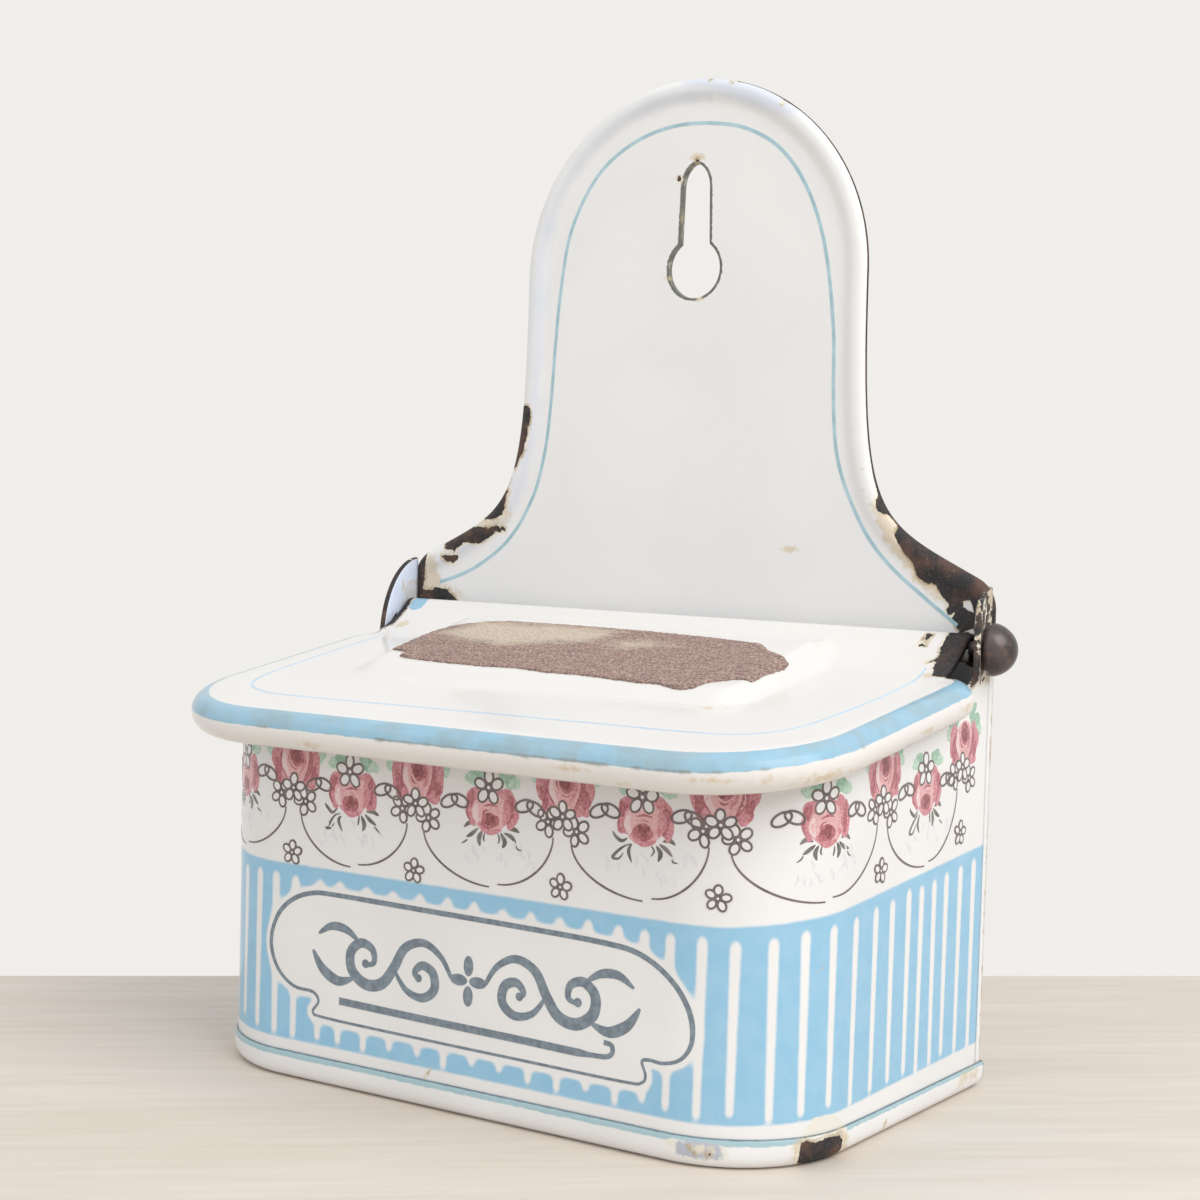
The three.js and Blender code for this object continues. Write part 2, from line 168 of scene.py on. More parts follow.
def new_piece(name, points, faces, body, *materials):
    mesh = bpy.data.meshes.new(name)
    mesh.from_pydata([tuple(point) for point in points], [], faces)
    mesh.update()
    mesh.shade_smooth()
    piece = bpy.data.objects.new(name, mesh)
    bpy.context.scene.collection.objects.link(piece)
    for material in materials:
        mesh.materials.append(material)
    if body:
        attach(piece, body)
    return piece


table_colour = (0.66, 0.575, 0.49, 1)
pale_grain = (0.74, 0.67, 0.60, 1)
room_colour = (0.875, 0.855, 0.825, 1)
room_light_colour = (0.95, 0.975, 1.0, 1)
table_reach = 3000
table_turn = radians(38.35)

wood = Look("table wood")
wood_turned = wood.add("Mapping", {"Vector": wood.place, "Rotation": (0, 0, -table_turn)})
wood_long, wood_fine = (
    wood.stretched(wood_turned.outputs[0], scale) for scale in ((5, 60, 1), (30, 420, 1))
)
wood_tone = wood.times(wood.grain(1.0, 5.0, where=wood_long), 0.55)
wood_tone = wood.times(wood.grain(1.0, 4.0, where=wood_fine), 0.45, wood_tone)
wood.colour = wood.lay_over(wood.ramp(wood_tone, 0.30, 0.68), table_colour, pale_grain)
beside = Vector((cos(table_turn), sin(table_turn), 0))
ahead = Vector((-beside.y, beside.x, 0))
table_end = at(-63.5, 70, 0) + ahead * 2.5 * MM
table_corners = [
    table_end + beside * side * table_reach * MM - ahead * back * table_reach * MM
    for side, back in ((-1, 0), (-1, 1), (1, 1), (1, 0))
]
table = new_piece("table", table_corners, [(0, 1, 2, 3)], None, wood.finish(0.7))

world = bpy.data.worlds.new("room")
bpy.context.scene.world = world
world.use_nodes = True
room = world.node_tree
room.nodes.clear()
path = add_node(room, "LightPath")
mirrored = figure(
    room, "MAXIMUM", path.outputs["Is Glossy Ray"], path.outputs["Is Transmission Ray"],
)
seen = figure(room, "MAXIMUM", path.outputs["Is Camera Ray"], mirrored)
room_light = add_node(room, "Background", {"Color": room_light_colour, "Strength": 0.66})
room_seen = add_node(room, "Background", {"Color": room_colour, "Strength": 1.0})
room_mix = add_node(
    room, "MixShader", {0: seen, 1: room_light.outputs[0], 2: room_seen.outputs[0]},
)
fill(add_node(room, "OutputWorld"), {"Surface": room_mix.outputs[0]})


def window(name, place, aim, size, power, colour):
    lamp = bpy.data.lights.new(name, "AREA")
    lamp.shape = "SQUARE"
    lamp.size = size
    lamp.energy = power
    lamp.color = colour
    holder = bpy.data.objects.new(name, lamp)
    holder.matrix_world = Matrix.Translation(place) @ (
        (place - aim).to_track_quat("Z", "Y").to_matrix().to_4x4()
    )
    bpy.context.scene.collection.objects.link(holder)


window("window", at(620, -120, 620), at(0, 30, 70), 0.6, 4.5, (1.0, 0.995, 0.985))
window("ceiling", at(-150, -250, 900), at(0, 30, 60), 0.9, 1.35, (1.0, 1.0, 1.0))
window("far window", at(-120, -800, 330), at(0, 30, 80), 0.9, 0.95, (1.0, 0.985, 0.965))

# Box wall: one strip of sheet steel bent round the front and welded to the back plate, with ears
# left standing at its rear corners. It is dipped in white enamel and fired, then stencilled blue.

rear_width = (wall_high.x - wall_low.x) / MM
front_width = 116.5
body_depth = (wall_high.y - wall_low.y) / MM
corner_radius = 21
sheet = 1.2
side_lean = (rear_width - front_width) / 2 / body_depth
corner_turn = pi / 2 - atan(side_lean)
corner_tangent = corner_radius * tan(corner_turn / 2)
front_run = front_width / 2 - corner_tangent
corner_run = corner_radius * corner_turn
side_run = body_depth * hypot(1, side_lean) - corner_tangent
floor_height = 1.0
wall_foot = floor_height + 0.02
mouth_front = 64.4
mouth_slope = radians(7.86)
mouth_rise = tan(mouth_slope)
ear_reach = 12.5
ear_rise = 16
ear_set_back = 0.8
ear_centre_y = body_depth + ear_set_back
ear_front_y = ear_centre_y - ear_reach
lip_radius = 0.45
bend_foot = 69
bend_front = 66
bend_rise = 4
bend_amount = 0.106
unpainted = -5
unharmed = -6.0


def round_wall(run):
    """Plan place and outward direction, a distance round the wall from the middle of its front."""
    side = 1 if run >= 0 else -1
    run = abs(run)
    turn = min(max(run - front_run, 0) / corner_radius, corner_turn)
    beyond = max(run - front_run - corner_run, 0)
    out_x, out_y = sin(turn), -cos(turn)
    x = min(run, front_run) + corner_radius * out_x - beyond * out_y
    y = corner_radius * (1 + out_y) + beyond * out_x
    return side * x, y, side * out_x, out_y


def wall_place(run, height, out=0.0):
    x, y, out_x, out_y = round_wall(run)
    return at(x + out_x * out, y + out_y * out, height)


def mouth_height(y):
    ahead_of_ear = mouth_front + mouth_rise * min(y, ear_front_y)
    if y <= ear_front_y:
        return ahead_of_ear
    share = (ear_centre_y - y) / ear_reach
    return ahead_of_ear + ear_rise * sqrt(max(1 - share * share, 0))


def inside_by(points, outline):
    """How far inside a closed outline each point lies, and negative outside it."""
    points = np.asarray(points, float)
    corners = np.asarray(outline, float)
    nearest = np.full(len(points), 1e9)
    inside = np.zeros(len(points), bool)
    for (ax, ay), (bx, by) in zip(corners, np.roll(corners, -1, axis=0)):
        ex, ey = bx - ax, by - ay
        px, py = points[:, 0] - ax, points[:, 1] - ay
        along = np.clip((px * ex + py * ey) / max(ex * ex + ey * ey, 1e-12), 0, 1)
        nearest = np.minimum(nearest, np.hypot(px - along * ex, py - along * ey))
        crossed = (ay > points[:, 1]) != (by > points[:, 1])
        inside ^= crossed & (px < py * ex / (ey if abs(ey) > 1e-12 else 1e-12))
    return np.where(inside, nearest, -nearest)


def deepest(points, outlines):
    """How far each point lies inside the outline that it is deepest in."""
    return np.max([inside_by(points, outline) for outline in outlines], axis=0)


def within_dots(points, dots, squash=1.0):
    """How far inside the nearest of some dots each point lies; squashed dots are low and wide."""
    x, y = np.asarray(points, float).T
    return np.max([
        reach - np.hypot(x - dot_x, (y - dot_y) * squash) for dot_x, dot_y, reach in dots
    ], axis=0)


def mark(piece, name, values):
    layer = piece.data.attributes.new(name, "FLOAT", "POINT")
    layer.data.foreach_set("value", np.asarray(values, np.float32))


def softened_least(first, second, blend):
    """The lesser of two distances, rounded where they meet."""
    share = np.clip(0.5 + 0.5 * (second - first) / blend, 0, 1)
    return second + (first - second) * share - blend * share * (1 - share)


white = (0.81, 0.81, 0.81, 1)
milk_white = (0.85, 0.845, 0.835, 1)
sky_blue = (0.29, 0.55, 0.75, 1)
tan_stain = (0.64, 0.49, 0.29, 1)
iron_black = (0.030, 0.028, 0.030, 1)
iron_brown = (0.105, 0.058, 0.044, 1)
iron_speck = (0.33, 0.27, 0.23, 1)
ring_pale = (0.80, 0.74, 0.60, 1)
ring_brown = (0.47, 0.36, 0.22, 1)


def enamel(name, paints=(), rust=1.0, body=(white, milk_white), stained=0.62):
    """Fired white enamel with painted zones, stains, and chips down to the iron under it.
    Each zone is an attribute that holds how far inside the zone the surface is, in millimetres."""
    look = Look(name)
    look.colour = look.lay_over(look.patches(0.35, 0.7, 30.0), *body)
    # A few fine dark pits, then the painted zones, each a little uneven and ragged at its edge.
    cells = look.add("TexVoronoi", {"Vector": look.place, "Scale": 75.0})
    rare = figure(look.tree, "GREATER_THAN", cells.outputs["Color"], 0.72)
    pit = look.times(rare, look.ramp(cells.outputs["Distance"], 0.016, 0.008))
    look.coat(pit, (0.12, 0.10, 0.09, 1))
    for attribute, tint, soft, ragged, scale in paints:
        wander = look.times(look.grain(scale, 2.0), 2 * ragged, look.zone(attribute))
        lighter = [1 - (1 - channel) * 0.93 for channel in tint[:3]] + [1]
        shade = look.lay_over(look.patches(0.25, 0.75, scale * 0.6), tint, lighter)
        look.coat(look.ramp(wander, ragged - soft, ragged + soft), shade)
    stain_edge = look.times(look.grain(800.0, 5.0, 0.65), 5.0, look.zone("stain"))
    look.coat(look.times(look.ramp(stain_edge, 2.2, 3.9), stained), tan_stain)
    # Chips: a brown and buff ring, and inside it bare iron with rust and fine pale specks.
    coarse = look.times(look.grain(420.0, 2.0), 1.3, look.zone("chip"))
    edge = look.times(look.grain(1500.0, 2.0), 0.7, coarse)
    ring_tint = look.lay_over(look.patches(0.4, 0.6, 260.0), ring_pale, ring_brown)
    look.coat(look.times(look.ramp(edge, 0.35, 0.85), 0.85), ring_tint)
    iron = look.times(look.patches(0.44, 0.64, 190.0, 5.0), rust)
    iron = look.lay_over(iron, iron_black, iron_brown)
    speck = look.patches(0.60, 0.72, 2600.0, 2.0)
    iron = look.lay_over(look.times(speck, 0.35), iron, iron_speck)
    bare = look.ramp(edge, 0.95, 1.05)
    look.coat(bare, iron)
    fill(look.shader, {"Specular IOR Level": 0.30})
    waves = look.times(look.grain(45.0, 1.0), 0.10)
    relief = figure(look.tree, "SUBTRACT", waves, bare)
    relief = figure(look.tree, "SUBTRACT", relief, look.times(look.times(speck, bare), 0.3))
    return look.finish(look.times(bare, 0.42, 0.18), relief, 0.00012, 0.8)


blue_top = 37.4
blue_foot = 6.9
side_start = 48
blue_rise = 0.082
blue_foot_rise = 0.02
stripe_half = 0.85
stripe_foot_share = 0.72
stripe_top_gap = 2.8
stripe_foot_gap = 1.2
halo = 1.25
halo_blend = 1.3
edge_blend = 0.6
stripe_blend = 0.35
stripe_places = [
    -117.2, -112.4, -107.8, -103.1, -98.2, -93.6, -88.9, -83.9, -78.6, -72.7, -66.5, -60.4, -54.8,
    -49.3, -44.4, -39.9, -35.6, -30.2, -25.8, -20.1, -14.6, -8.9, -3.4, 2.1, 7.7, 13.2, 18.7, 24.1,
    29.6, 34.4, 38.8, 44, 49.1, 55.1, 60.5, 66.2, 72.5, 79, 84.7, 90.3, 94.8, 99.5, 103.9,
    109.1, 114.2,
]
cartouche_knots = [
    (-26, 33.2), (-8, 33.05), (10, 32.9), (26, 32.6), (33.5, 31.7), (39.3, 28.4), (42.4, 23.9),
    (42.9, 19.4), (41.2, 16.5), (38.2, 15.4), (35.6, 15.5), (34.4, 15), (35.1, 13), (34.4, 11.7),
    (31, 11.3), (12, 11.4), (-10, 11.55), (-28, 11.8), (-31.2, 12.4), (-30, 14.4), (-31.3, 15.9),
    (-35.6, 16.3), (-39.2, 18.9), (-40.9, 23.2), (-39.6, 27.8), (-36.4, 31.1), (-31.8, 32.9),
]


def smooth_line(knots, steps, closed=False):
    """A rounded line through its knots."""
    knots = [np.array(knot, float) for knot in knots]
    count = len(knots)
    line = []
    for i in range(count if closed else count - 1):
        before, here, there, after = (
            knots[(i + k) % count if closed else min(max(i + k, 0), count - 1)]
            for k in (-1, 0, 1, 2)
        )
        for step in range(steps):
            t = step / steps
            line.append(0.5 * (
                2 * here + (there - before) * t
                + (2 * before - 5 * here + 4 * there - after) * t * t
                + (3 * here - before - 3 * there + after) * t ** 3
            ))
    if not closed:
        line.append(knots[-1])
    return line


def blue_zone(runs, heights):
    """How far inside the stencilled blue each point of the wall is."""
    beyond = np.maximum(np.abs(runs) - side_start, 0)
    top = blue_top + blue_rise * beyond - heights
    foot = heights - blue_foot - blue_foot_rise * beyond
    field = softened_least(top, foot, edge_blend)
    stripes = random.Random(5)
    for place in stripe_places:
        low = blue_foot + stripe_foot_gap + stripes.uniform(0, 1.5)
        high = blue_top - stripe_top_gap - stripes.uniform(0, 0.5)
        high = high + blue_rise * max(abs(place) - side_start, 0)
        lean = stripes.uniform(-0.3, 0.3)
        share = np.clip((heights - low) / (high - low), 0, 1)
        across = runs - place - lean * (0.5 - share)
        half = stripe_half * (stripe_foot_share + (1 - stripe_foot_share) * share)
        past = np.maximum(np.maximum(low - heights, heights - high) * 0.7, 0)
        stripe = np.hypot(across, past) - half
        field = softened_least(field, stripe, stripe_blend)
    around = -inside_by(np.column_stack([runs, heights]), cartouche) - halo
    return softened_least(field, around, halo_blend)


def spread(start, end, steps):
    """Even steps from a start to an end, both included."""
    return [start + (end - start) * k / steps for k in range(steps + 1)]


def numbered(count, length, start=0):
    """The numbers of points that were made in rows of one length."""
    return [range(start + k * length, start + (k + 1) * length) for k in range(count)]


def faces_between(rows, closed=False, flip=False):
    """Faces between each row of numbered points and the next; a closed row is a ring."""
    faces = []
    for first, second in zip(rows, rows[1:]):
        for i in range(len(first) if closed else len(first) - 1):
            j = (i + 1) % len(first)
            across, back = (first[j], second[i]) if flip else (second[i], first[j])
            faces.append((first[i], across, second[j], back))
    return faces


cartouche = smooth_line(cartouche_knots, 5, closed=True)
fine_step = 0.5
mark_top = 46
high_rows = 22
inner_bend = 61

side_start_run = front_run + corner_run
ear_places = [
    (ear_centre_y - ear_reach * cos(turn)) * hypot(1, side_lean) - corner_tangent
    for turn in np.linspace(0, acos(ear_set_back / ear_reach), 26)
]
side_places = np.arange(0, min(side_run - ear_reach, ear_places[0]) - 0.2, fine_step)
side_columns = [side_start_run + place for place in [*side_places, *ear_places]]
columns = [-run for run in reversed(side_columns)]
columns += list(np.arange(-side_start_run, side_start_run, fine_step))[1:]
columns += side_columns
low_rows = list(np.arange(wall_foot, mark_top, fine_step))
lip_turns = map(radians, (0, 30, 60, 90))
lip = [(lip_radius * sin(turn), lip_radius * (1 - cos(turn))) for turn in lip_turns]
wall_points = []
wall_rows = []
for run in columns:
    y = round_wall(run)[1]
    straight = mouth_height(y) - lip_radius
    section = [(height, 0.0) for height in low_rows + spread(mark_top, straight, high_rows)]
    section += [(straight + rise, depth) for rise, depth in lip[1:]]
    section += [(straight + rise, sheet - depth) for rise, depth in reversed(lip)]
    inner_rows = spread(straight, inner_bend, 14)[1:] + spread(inner_bend, wall_foot, 8)[1:]
    section += [(height, sheet) for height in inner_rows]
    for height, depth in section:
        bend = 0
        if run > 0 and height > bend_foot:
            lean_out = bend_amount * max(0, bend_front - y) ** 1.5
            bend = lean_out * min((height - bend_foot) / bend_rise, 1)
        wall_points.append(wall_place(run, height, bend - depth))
        wall_rows.append((run, height, depth))
wall_columns = numbered(len(columns), len(section))
wall_faces = faces_between(wall_columns, closed=True)
wall_faces += [tuple(wall_columns[0]), tuple(reversed(wall_columns[-1]))]
wall_runs, wall_heights, wall_depths = np.array(wall_rows).T
cream = (0.81, 0.785, 0.71, 1)
wall_enamel = enamel("wall enamel", (
    ("blue", sky_blue, 0.30, 0.10, 500.0),
    ("cream", cream, 0.25, 0.5, 500.0),
    ("shade", (0.70, 0.77, 0.92, 1), 1.2, 0.6, 200.0),
))
box_wall = new_piece("box_wall_enamelled", wall_points, wall_faces, "case", wall_enamel)
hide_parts("box_wall")
outside = wall_depths < 0.1
mark(box_wall, "blue", np.where(outside, blue_zone(wall_runs, wall_heights), unpainted))
wall_flat = np.column_stack([wall_runs, wall_heights])
blister = [(61.0, 4.0), (61.6, 6.0), (63.3, 7.5), (67.2, 7.2), (69.9, 5.9), (70.2, 4.0)]
mark(box_wall, "cream", np.where(outside, inside_by(wall_flat, blister), unpainted))
wall_y = np.array([(point.y - front_y) / MM for point in wall_points])
behind_ear_front = wall_y - ear_front_y
right_side = wall_runs > 0
inner = wall_depths > sheet / 2
left_inner = ~right_side & inner & (behind_ear_front > -1) & (wall_heights > 66)
ear_edge = (np.abs(wall_depths - sheet / 2) < sheet / 2 - 0.05) & (behind_ear_front > -0.6)
ear_face = [(104, 71.5), (119, 71.5), (119, 95), (104, 95)]
scratch = [(-8.3, 3.6), (-7.9, 3.6), (-4.6, 8.8), (-4.9, 9.0)]
wall_chip = np.minimum(inside_by(wall_flat, ear_face) * 0.7, 0.02)
wall_chip = np.maximum(wall_chip, inside_by(wall_flat, scratch) - 0.45)
wall_chip = np.maximum(wall_chip, unharmed)
# The right ear's inner face is bare down to a slanting line, with ragged ends at its front.
inner_bare = np.minimum(wall_heights - 66.5, behind_ear_front)
inner_bare = np.minimum(inner_bare, 82 - 0.35 * (wall_y - 55) - wall_heights)
right_inner = right_side & inner & (behind_ear_front > -3)
wall_chip = np.where(right_inner, np.clip(inner_bare, -3, 1.6), wall_chip)
wall_chip = np.where(ear_edge, np.where(right_side, 0.14, 0.3), wall_chip)
wall_chip = np.where(left_inner & (wall_heights < 77.5) & (wall_y > 58), 0.2, wall_chip)
mark(box_wall, "chip", wall_chip)
mark(box_wall, "shade", np.where(left_inner, 2.0, unpainted))
front_stain = inside_by(wall_flat, [(62.9, 30.2), (64.2, 30.7), (65.4, 31.7), (64.0, 31.2)])
left_ear_stain = np.where(left_inner & (wall_heights < 84) & (wall_y > 61), 0.6, unharmed)
mark(box_wall, "stain", np.maximum(front_stain, left_ear_stain))

# Cartouche: a white panel left bare in the blue and outlined in slate grey by a printed transfer.
# Inside it is a plain scroll ornament with a bar under it, printed in the same grey.

print_depth = 0.03
print_step = 0.0015
slate = (0.155, 0.20, 0.24, 1)


def ink(name, tint, second, scale=500.0):
    look = Look(name)
    look.colour = look.lay_over(look.patches(0.35, 0.66, scale, 4.0), tint, second)
    return look.finish(0.22)


class Transfer:
    """Thin printed shapes that lie on a surface. Each shape is a closed film of colour that lies a
    little higher than the one before it, until the lift is set back for a new group of shapes."""

    def __init__(self, surface):
        self.surface = surface
        self.points = []
        self.faces = []
        self.inks = []
        self.lift = print_depth

    def film(self, places, tops, rims, ink_number):
        start = len(self.points)
        self.lift += print_step
        count = len(places)
        self.points += [self.surface(x, y, self.lift) for x, y in places]
        self.points += [self.surface(x, y, -print_depth) for x, y in places]
        made = [*tops, *(tuple(count + i for i in reversed(face)) for face in tops)]
        made += [(a, count + a, count + b, b) for a, b in rims]
        self.faces += [tuple(start + i for i in face) for face in made]
        self.inks += [ink_number] * len(made)

    def stroke(self, line, widths, ink_number=0, closed=False):
        """A brush stroke along a line; its width is one number or one for each point."""
        line = [np.array(point, float) for point in line]
        count = len(line)
        if not hasattr(widths, "__len__"):
            widths = [widths] * count
        places = []
        for i, point in enumerate(line):
            before = line[i - 1] if i or closed else point
            after = line[(i + 1) % count] if i < count - 1 or closed else point
            along = after - before
            along = along / max(np.hypot(*along), 1e-9)
            side = np.array([-along[1], along[0]]) * widths[i] / 2
            places += [point + side, point - side]
        tops, rims = [], []
        for i in range(count if closed else count - 1):
            a, b = 2 * i, 2 * i + 1
            c, d = 2 * ((i + 1) % count), 2 * ((i + 1) % count) + 1
            tops.append((a, b, d, c))
            rims += [(b, d), (c, a)]
        if not closed:
            rims += [(0, 1), (2 * count - 1, 2 * count - 2)]
        self.film(places, tops, rims, ink_number)

    def blob(self, outline, ink_number=0, ring_step=1.2):
        """A filled shape that has a middle from which all of its edge can be seen."""
        outline = [np.array(point, float) for point in outline]
        middle = sum(outline) / len(outline)
        reach = max(np.hypot(*(point - middle)) for point in outline)
        rings = max(1, ceil(reach / ring_step))
        count = len(outline)
        places = [middle]
        for ring_number in range(1, rings + 1):
            places += [middle + (point - middle) * ring_number / rings for point in outline]
        tops = [(0, 1 + i, 1 + (i + 1) % count) for i in range(count)]
        tops += faces_between(numbered(rings, count, 1), closed=True)
        outer = len(places) - count
        rims = [(outer + i, outer + (i + 1) % count) for i in range(count)]
        self.film(places, tops, rims, ink_number)

    def finish(self, name, body, materials):
        piece = new_piece(name, self.points, self.faces, body, *materials)
        piece.data.polygons.foreach_set("material_index", self.inks)
        piece.data.shade_flat()
        return piece


def oval(x, y, half_x, half_y, turn=0.0, count=16):
    turn = radians(turn)
    points = []
    for angle in spread(0, 2 * pi, count)[:-1]:
        a, b = half_x * cos(angle), half_y * sin(angle)
        points.append((x + a * cos(turn) - b * sin(turn), y + a * sin(turn) + b * cos(turn)))
    return points


def swelling(count, thin, thick):
    """Widths of a stroke that is thin at its ends and thick in its middle."""
    return [thin + (thick - thin) * sin(pi * i / (count - 1)) for i in range(count)]


cartouche_print = Transfer(wall_place)
outline_widths = [
    0.48 + 0.42 * min(max((height - 14) / 8, 0), 1) * (0.8 if run < -20 else 1)
    for run, height in cartouche
]
cartouche_print.stroke(cartouche, outline_widths, closed=True)
ornament_middle = 1.2
ornament_strokes = (
    ([(3.4, 22.6), (5.6, 25.8), (9.2, 27.6), (13, 26.2), (15.2, 22.6), (17.6, 19.6), (21, 18.9),
      (24, 20.8), (24.4, 23.9), (22.2, 25.8), (19.8, 25), (19.4, 22.9), (21, 22.2)], 0.7, 2),
    ([(15, 22), (12.6, 19.2), (9.2, 18.4), (6.8, 20.2), (7.2, 22.9), (9.4, 23.8), (10.9, 22.4),
      (10, 21.3)], 0.6, 1.7),
    ([(23.6, 19.6), (27, 18.6), (30.4, 20.2), (32.6, 23.2)], 0.4, 1.9),
    ([(22.6, 25.9), (25.4, 27.6), (28.6, 27.8), (31.4, 26.2)], 0.4, 1.5),
)
for side in (-1, 1):
    for knots, thin, thick in ornament_strokes:
        line = smooth_line([(ornament_middle + side * x, y) for x, y in knots], 5)
        cartouche_print.stroke(line, swelling(len(line), thin, thick))
    cartouche_print.blob(oval(ornament_middle + side * 21.2, 22.4, 0.75, 0.75))
    cartouche_print.blob(oval(ornament_middle + side * 10.1, 21.6, 0.7, 0.7))
for turn in (0, 90, 180, 270):
    angle = radians(turn)
    reach = 2.5 if turn % 180 else 1.9
    cartouche_print.blob(oval(
        ornament_middle + reach * cos(angle), 22.6 + reach * sin(angle), 1.7, 0.95, turn,
    ))
bar = smooth_line(
    [(-25.5, 15.2), (-8, 14.9), (10, 14.7), (25, 14.5), (28.6, 15), (28.9, 16.6), (27.4, 16.9)],
    5,
)
cartouche_print.stroke(bar, [1.25 if point[0] < 24 and point[1] < 15.4 else 0.8 for point in bar])
slate_ink = ink("slate print", slate, (0.23, 0.29, 0.335, 1), 900.0)
cartouche_print.finish("cartouche_print", "case", [slate_ink])

# Garland: a printed band of roses, outlined daisies, chain links and thin swags under the lid,
# laid on the white enamel as a transfer in brown line, rose, green and white, and fired.

brown_line, rose_heart, rose_dark, rose_mid, rose_light, leaf_green, leaf_pale, petal_white, \
    bud_green, rose_pale, ghost_grey = range(11)
line_width = 0.36
low_roses = [
    (-109.5, 54.4), (-79.2, 52.8), (-50.2, 51.2), (-23.4, 50.6), (5.1, 50.8), (33.9, 52.2),
    (64.2, 53.1), (95.4, 54.6),
]
high_roses = [
    (-94.5, 59.4), (-64.5, 57.2), (-36, 54.7), (-9.9, 54.7), (19, 55.6), (46.7, 57.1),
    (80.4, 59), (108.6, 61.7),
]
swag_drop = 11.9
swag_steps = 21
garland = Transfer(wall_place)
garland_inks = [
    ink("brown line print", (0.13, 0.105, 0.10, 1), (0.20, 0.165, 0.16, 1)),
    ink("rose heart print", (0.22, 0.06, 0.07, 1), (0.36, 0.13, 0.14, 1), 2400.0),
    ink("dark rose print", (0.36, 0.10, 0.125, 1), (0.52, 0.21, 0.24, 1), 2400.0),
    ink("rose print", (0.54, 0.19, 0.23, 1), (0.68, 0.35, 0.38, 1), 2400.0),
    ink("light rose print", (0.69, 0.36, 0.38, 1), (0.78, 0.50, 0.51, 1), 2400.0),
    ink("leaf print", (0.27, 0.46, 0.34, 1), (0.42, 0.62, 0.50, 1), 1800.0),
    ink("pale leaf print", (0.42, 0.61, 0.48, 1), (0.58, 0.74, 0.64, 1), 1800.0),
    ink("white print", (0.79, 0.79, 0.79, 1), (0.83, 0.83, 0.83, 1)),
    ink("bud print", (0.12, 0.115, 0.10, 1), (0.22, 0.21, 0.19, 1)),
    ink("pale rose print", (0.82, 0.66, 0.66, 1), (0.78, 0.55, 0.56, 1), 2400.0),
    ink("ghost print", (0.735, 0.735, 0.765, 1), (0.79, 0.79, 0.805, 1), 1200.0),
]
hand = random.Random(11)


def wobbly(x, y, half_x, half_y, turn=0.0, amount=0.10, count=22):
    lobes = [(hand.uniform(0, 2 * pi), hand.uniform(0.3, 1)) for _ in range(3)]
    points = []
    for i, (px, py) in enumerate(oval(0, 0, half_x, half_y, turn, count)):
        angle = 2 * pi * i / count
        swell = 1 + amount * sum(
            size * sin((3 + k) * angle + phase) / (k + 1)
            for k, (phase, size) in enumerate(lobes)
        )
        points.append((x + px * swell, y + py * swell))
    return points


def brush(x, y, knots, thin, thick, ink_number):
    """A brush stroke that swells in its middle, drawn from a place on the surface."""
    line = smooth_line([(x + px, y + py) for px, py in knots], 4)
    garland.stroke(line, swelling(len(line), thin, thick), ink_number)


def daisy(x, y, reach, turn=0.0, width=line_width):
    for k in range(5):
        angle = radians(turn + 72 * k + hand.uniform(-5, 5))
        px, py = x + 0.64 * reach * cos(angle), y + 0.64 * reach * sin(angle)
        long = reach * hand.uniform(0.38, 0.44)
        wide = reach * hand.uniform(0.29, 0.34)
        petal = oval(px, py, long, wide, degrees(angle) + hand.uniform(-8, 8), 14)
        garland.blob(petal, petal_white)
        garland.stroke(petal, width, brown_line, closed=True)
    middle = oval(x, y, 0.17 * reach, 0.17 * reach, 0, 8)
    garland.blob(middle, petal_white)
    garland.stroke(middle, width * 0.8, brown_line, closed=True)


def flower(x, y, parts):
    """Lays petals and brush strokes one over the other, each from the flower's own middle."""
    for *part, ink_number in parts:
        if len(part) == 3:
            brush(x, y, *part, ink_number)
        else:
            px, py, *shape = part
            garland.blob(wobbly(x + px, y + py, *shape), ink_number)


hanging_rose = (
    (-3.4, 1.8, 1.6, 2.1, -16, 0.14, rose_mid), (-3.8, -0.3, 1.35, 2.1, 6, 0.14, rose_mid),
    (3, 1.8, 1.7, 2.3, 18, 0.14, rose_mid), (3.9, -0.3, 1.2, 2.2, -6, 0.14, rose_mid),
    (-0.2, 2.4, 2.4, 1.6, 0, 0.14, rose_mid), (-4.1, 1.8, 0.8, 1.3, -6, 0.25, rose_dark),
    (3.6, 0.7, 0.75, 2.3, -4, 0.2, rose_dark), (-0.3, -0.1, 3.6, 3.4, 0, 0.05, rose_light),
    ([(2.5, 2.1), (3, 0.2), (2.3, -1.9)], 0.3, 1.5, rose_mid),
    ([(-3, 1), (-3.3, -0.6), (-2.6, -2.1)], 0.3, 1.2, rose_pale),
    ([(-1.7, 1.9), (-0.2, 2.3), (1.2, 1.9)], 0.2, 0.8, rose_pale),
    ([(-3.4, 1.5), (-2.3, 2.7), (-0.6, 3.1), (1.4, 2.8)], 0.2, 0.9, rose_mid),
    ([(-1.6, 0.8), (-0.2, 1.15), (1.2, 0.95)], 0.1, 0.4, rose_dark),
    ([(-2.6, -1.9), (-0.5, -3.3), (1.9, -2.7)], 0.3, 1, rose_mid),
    (-0.4, -1.35, 1.75, 1.55, 0, 0.16, rose_dark), (-0.3, -1.3, 1, 0.95, 20, 0.3, rose_heart),
    ([(-1.4, -0.3), (-0.2, 0.1), (1, -0.5)], 0.1, 0.35, rose_light),
    ([(-4.6, 0.6), (-4.9, -0.6), (-4.3, -1.8)], 0.1, 0.4, rose_dark),
)
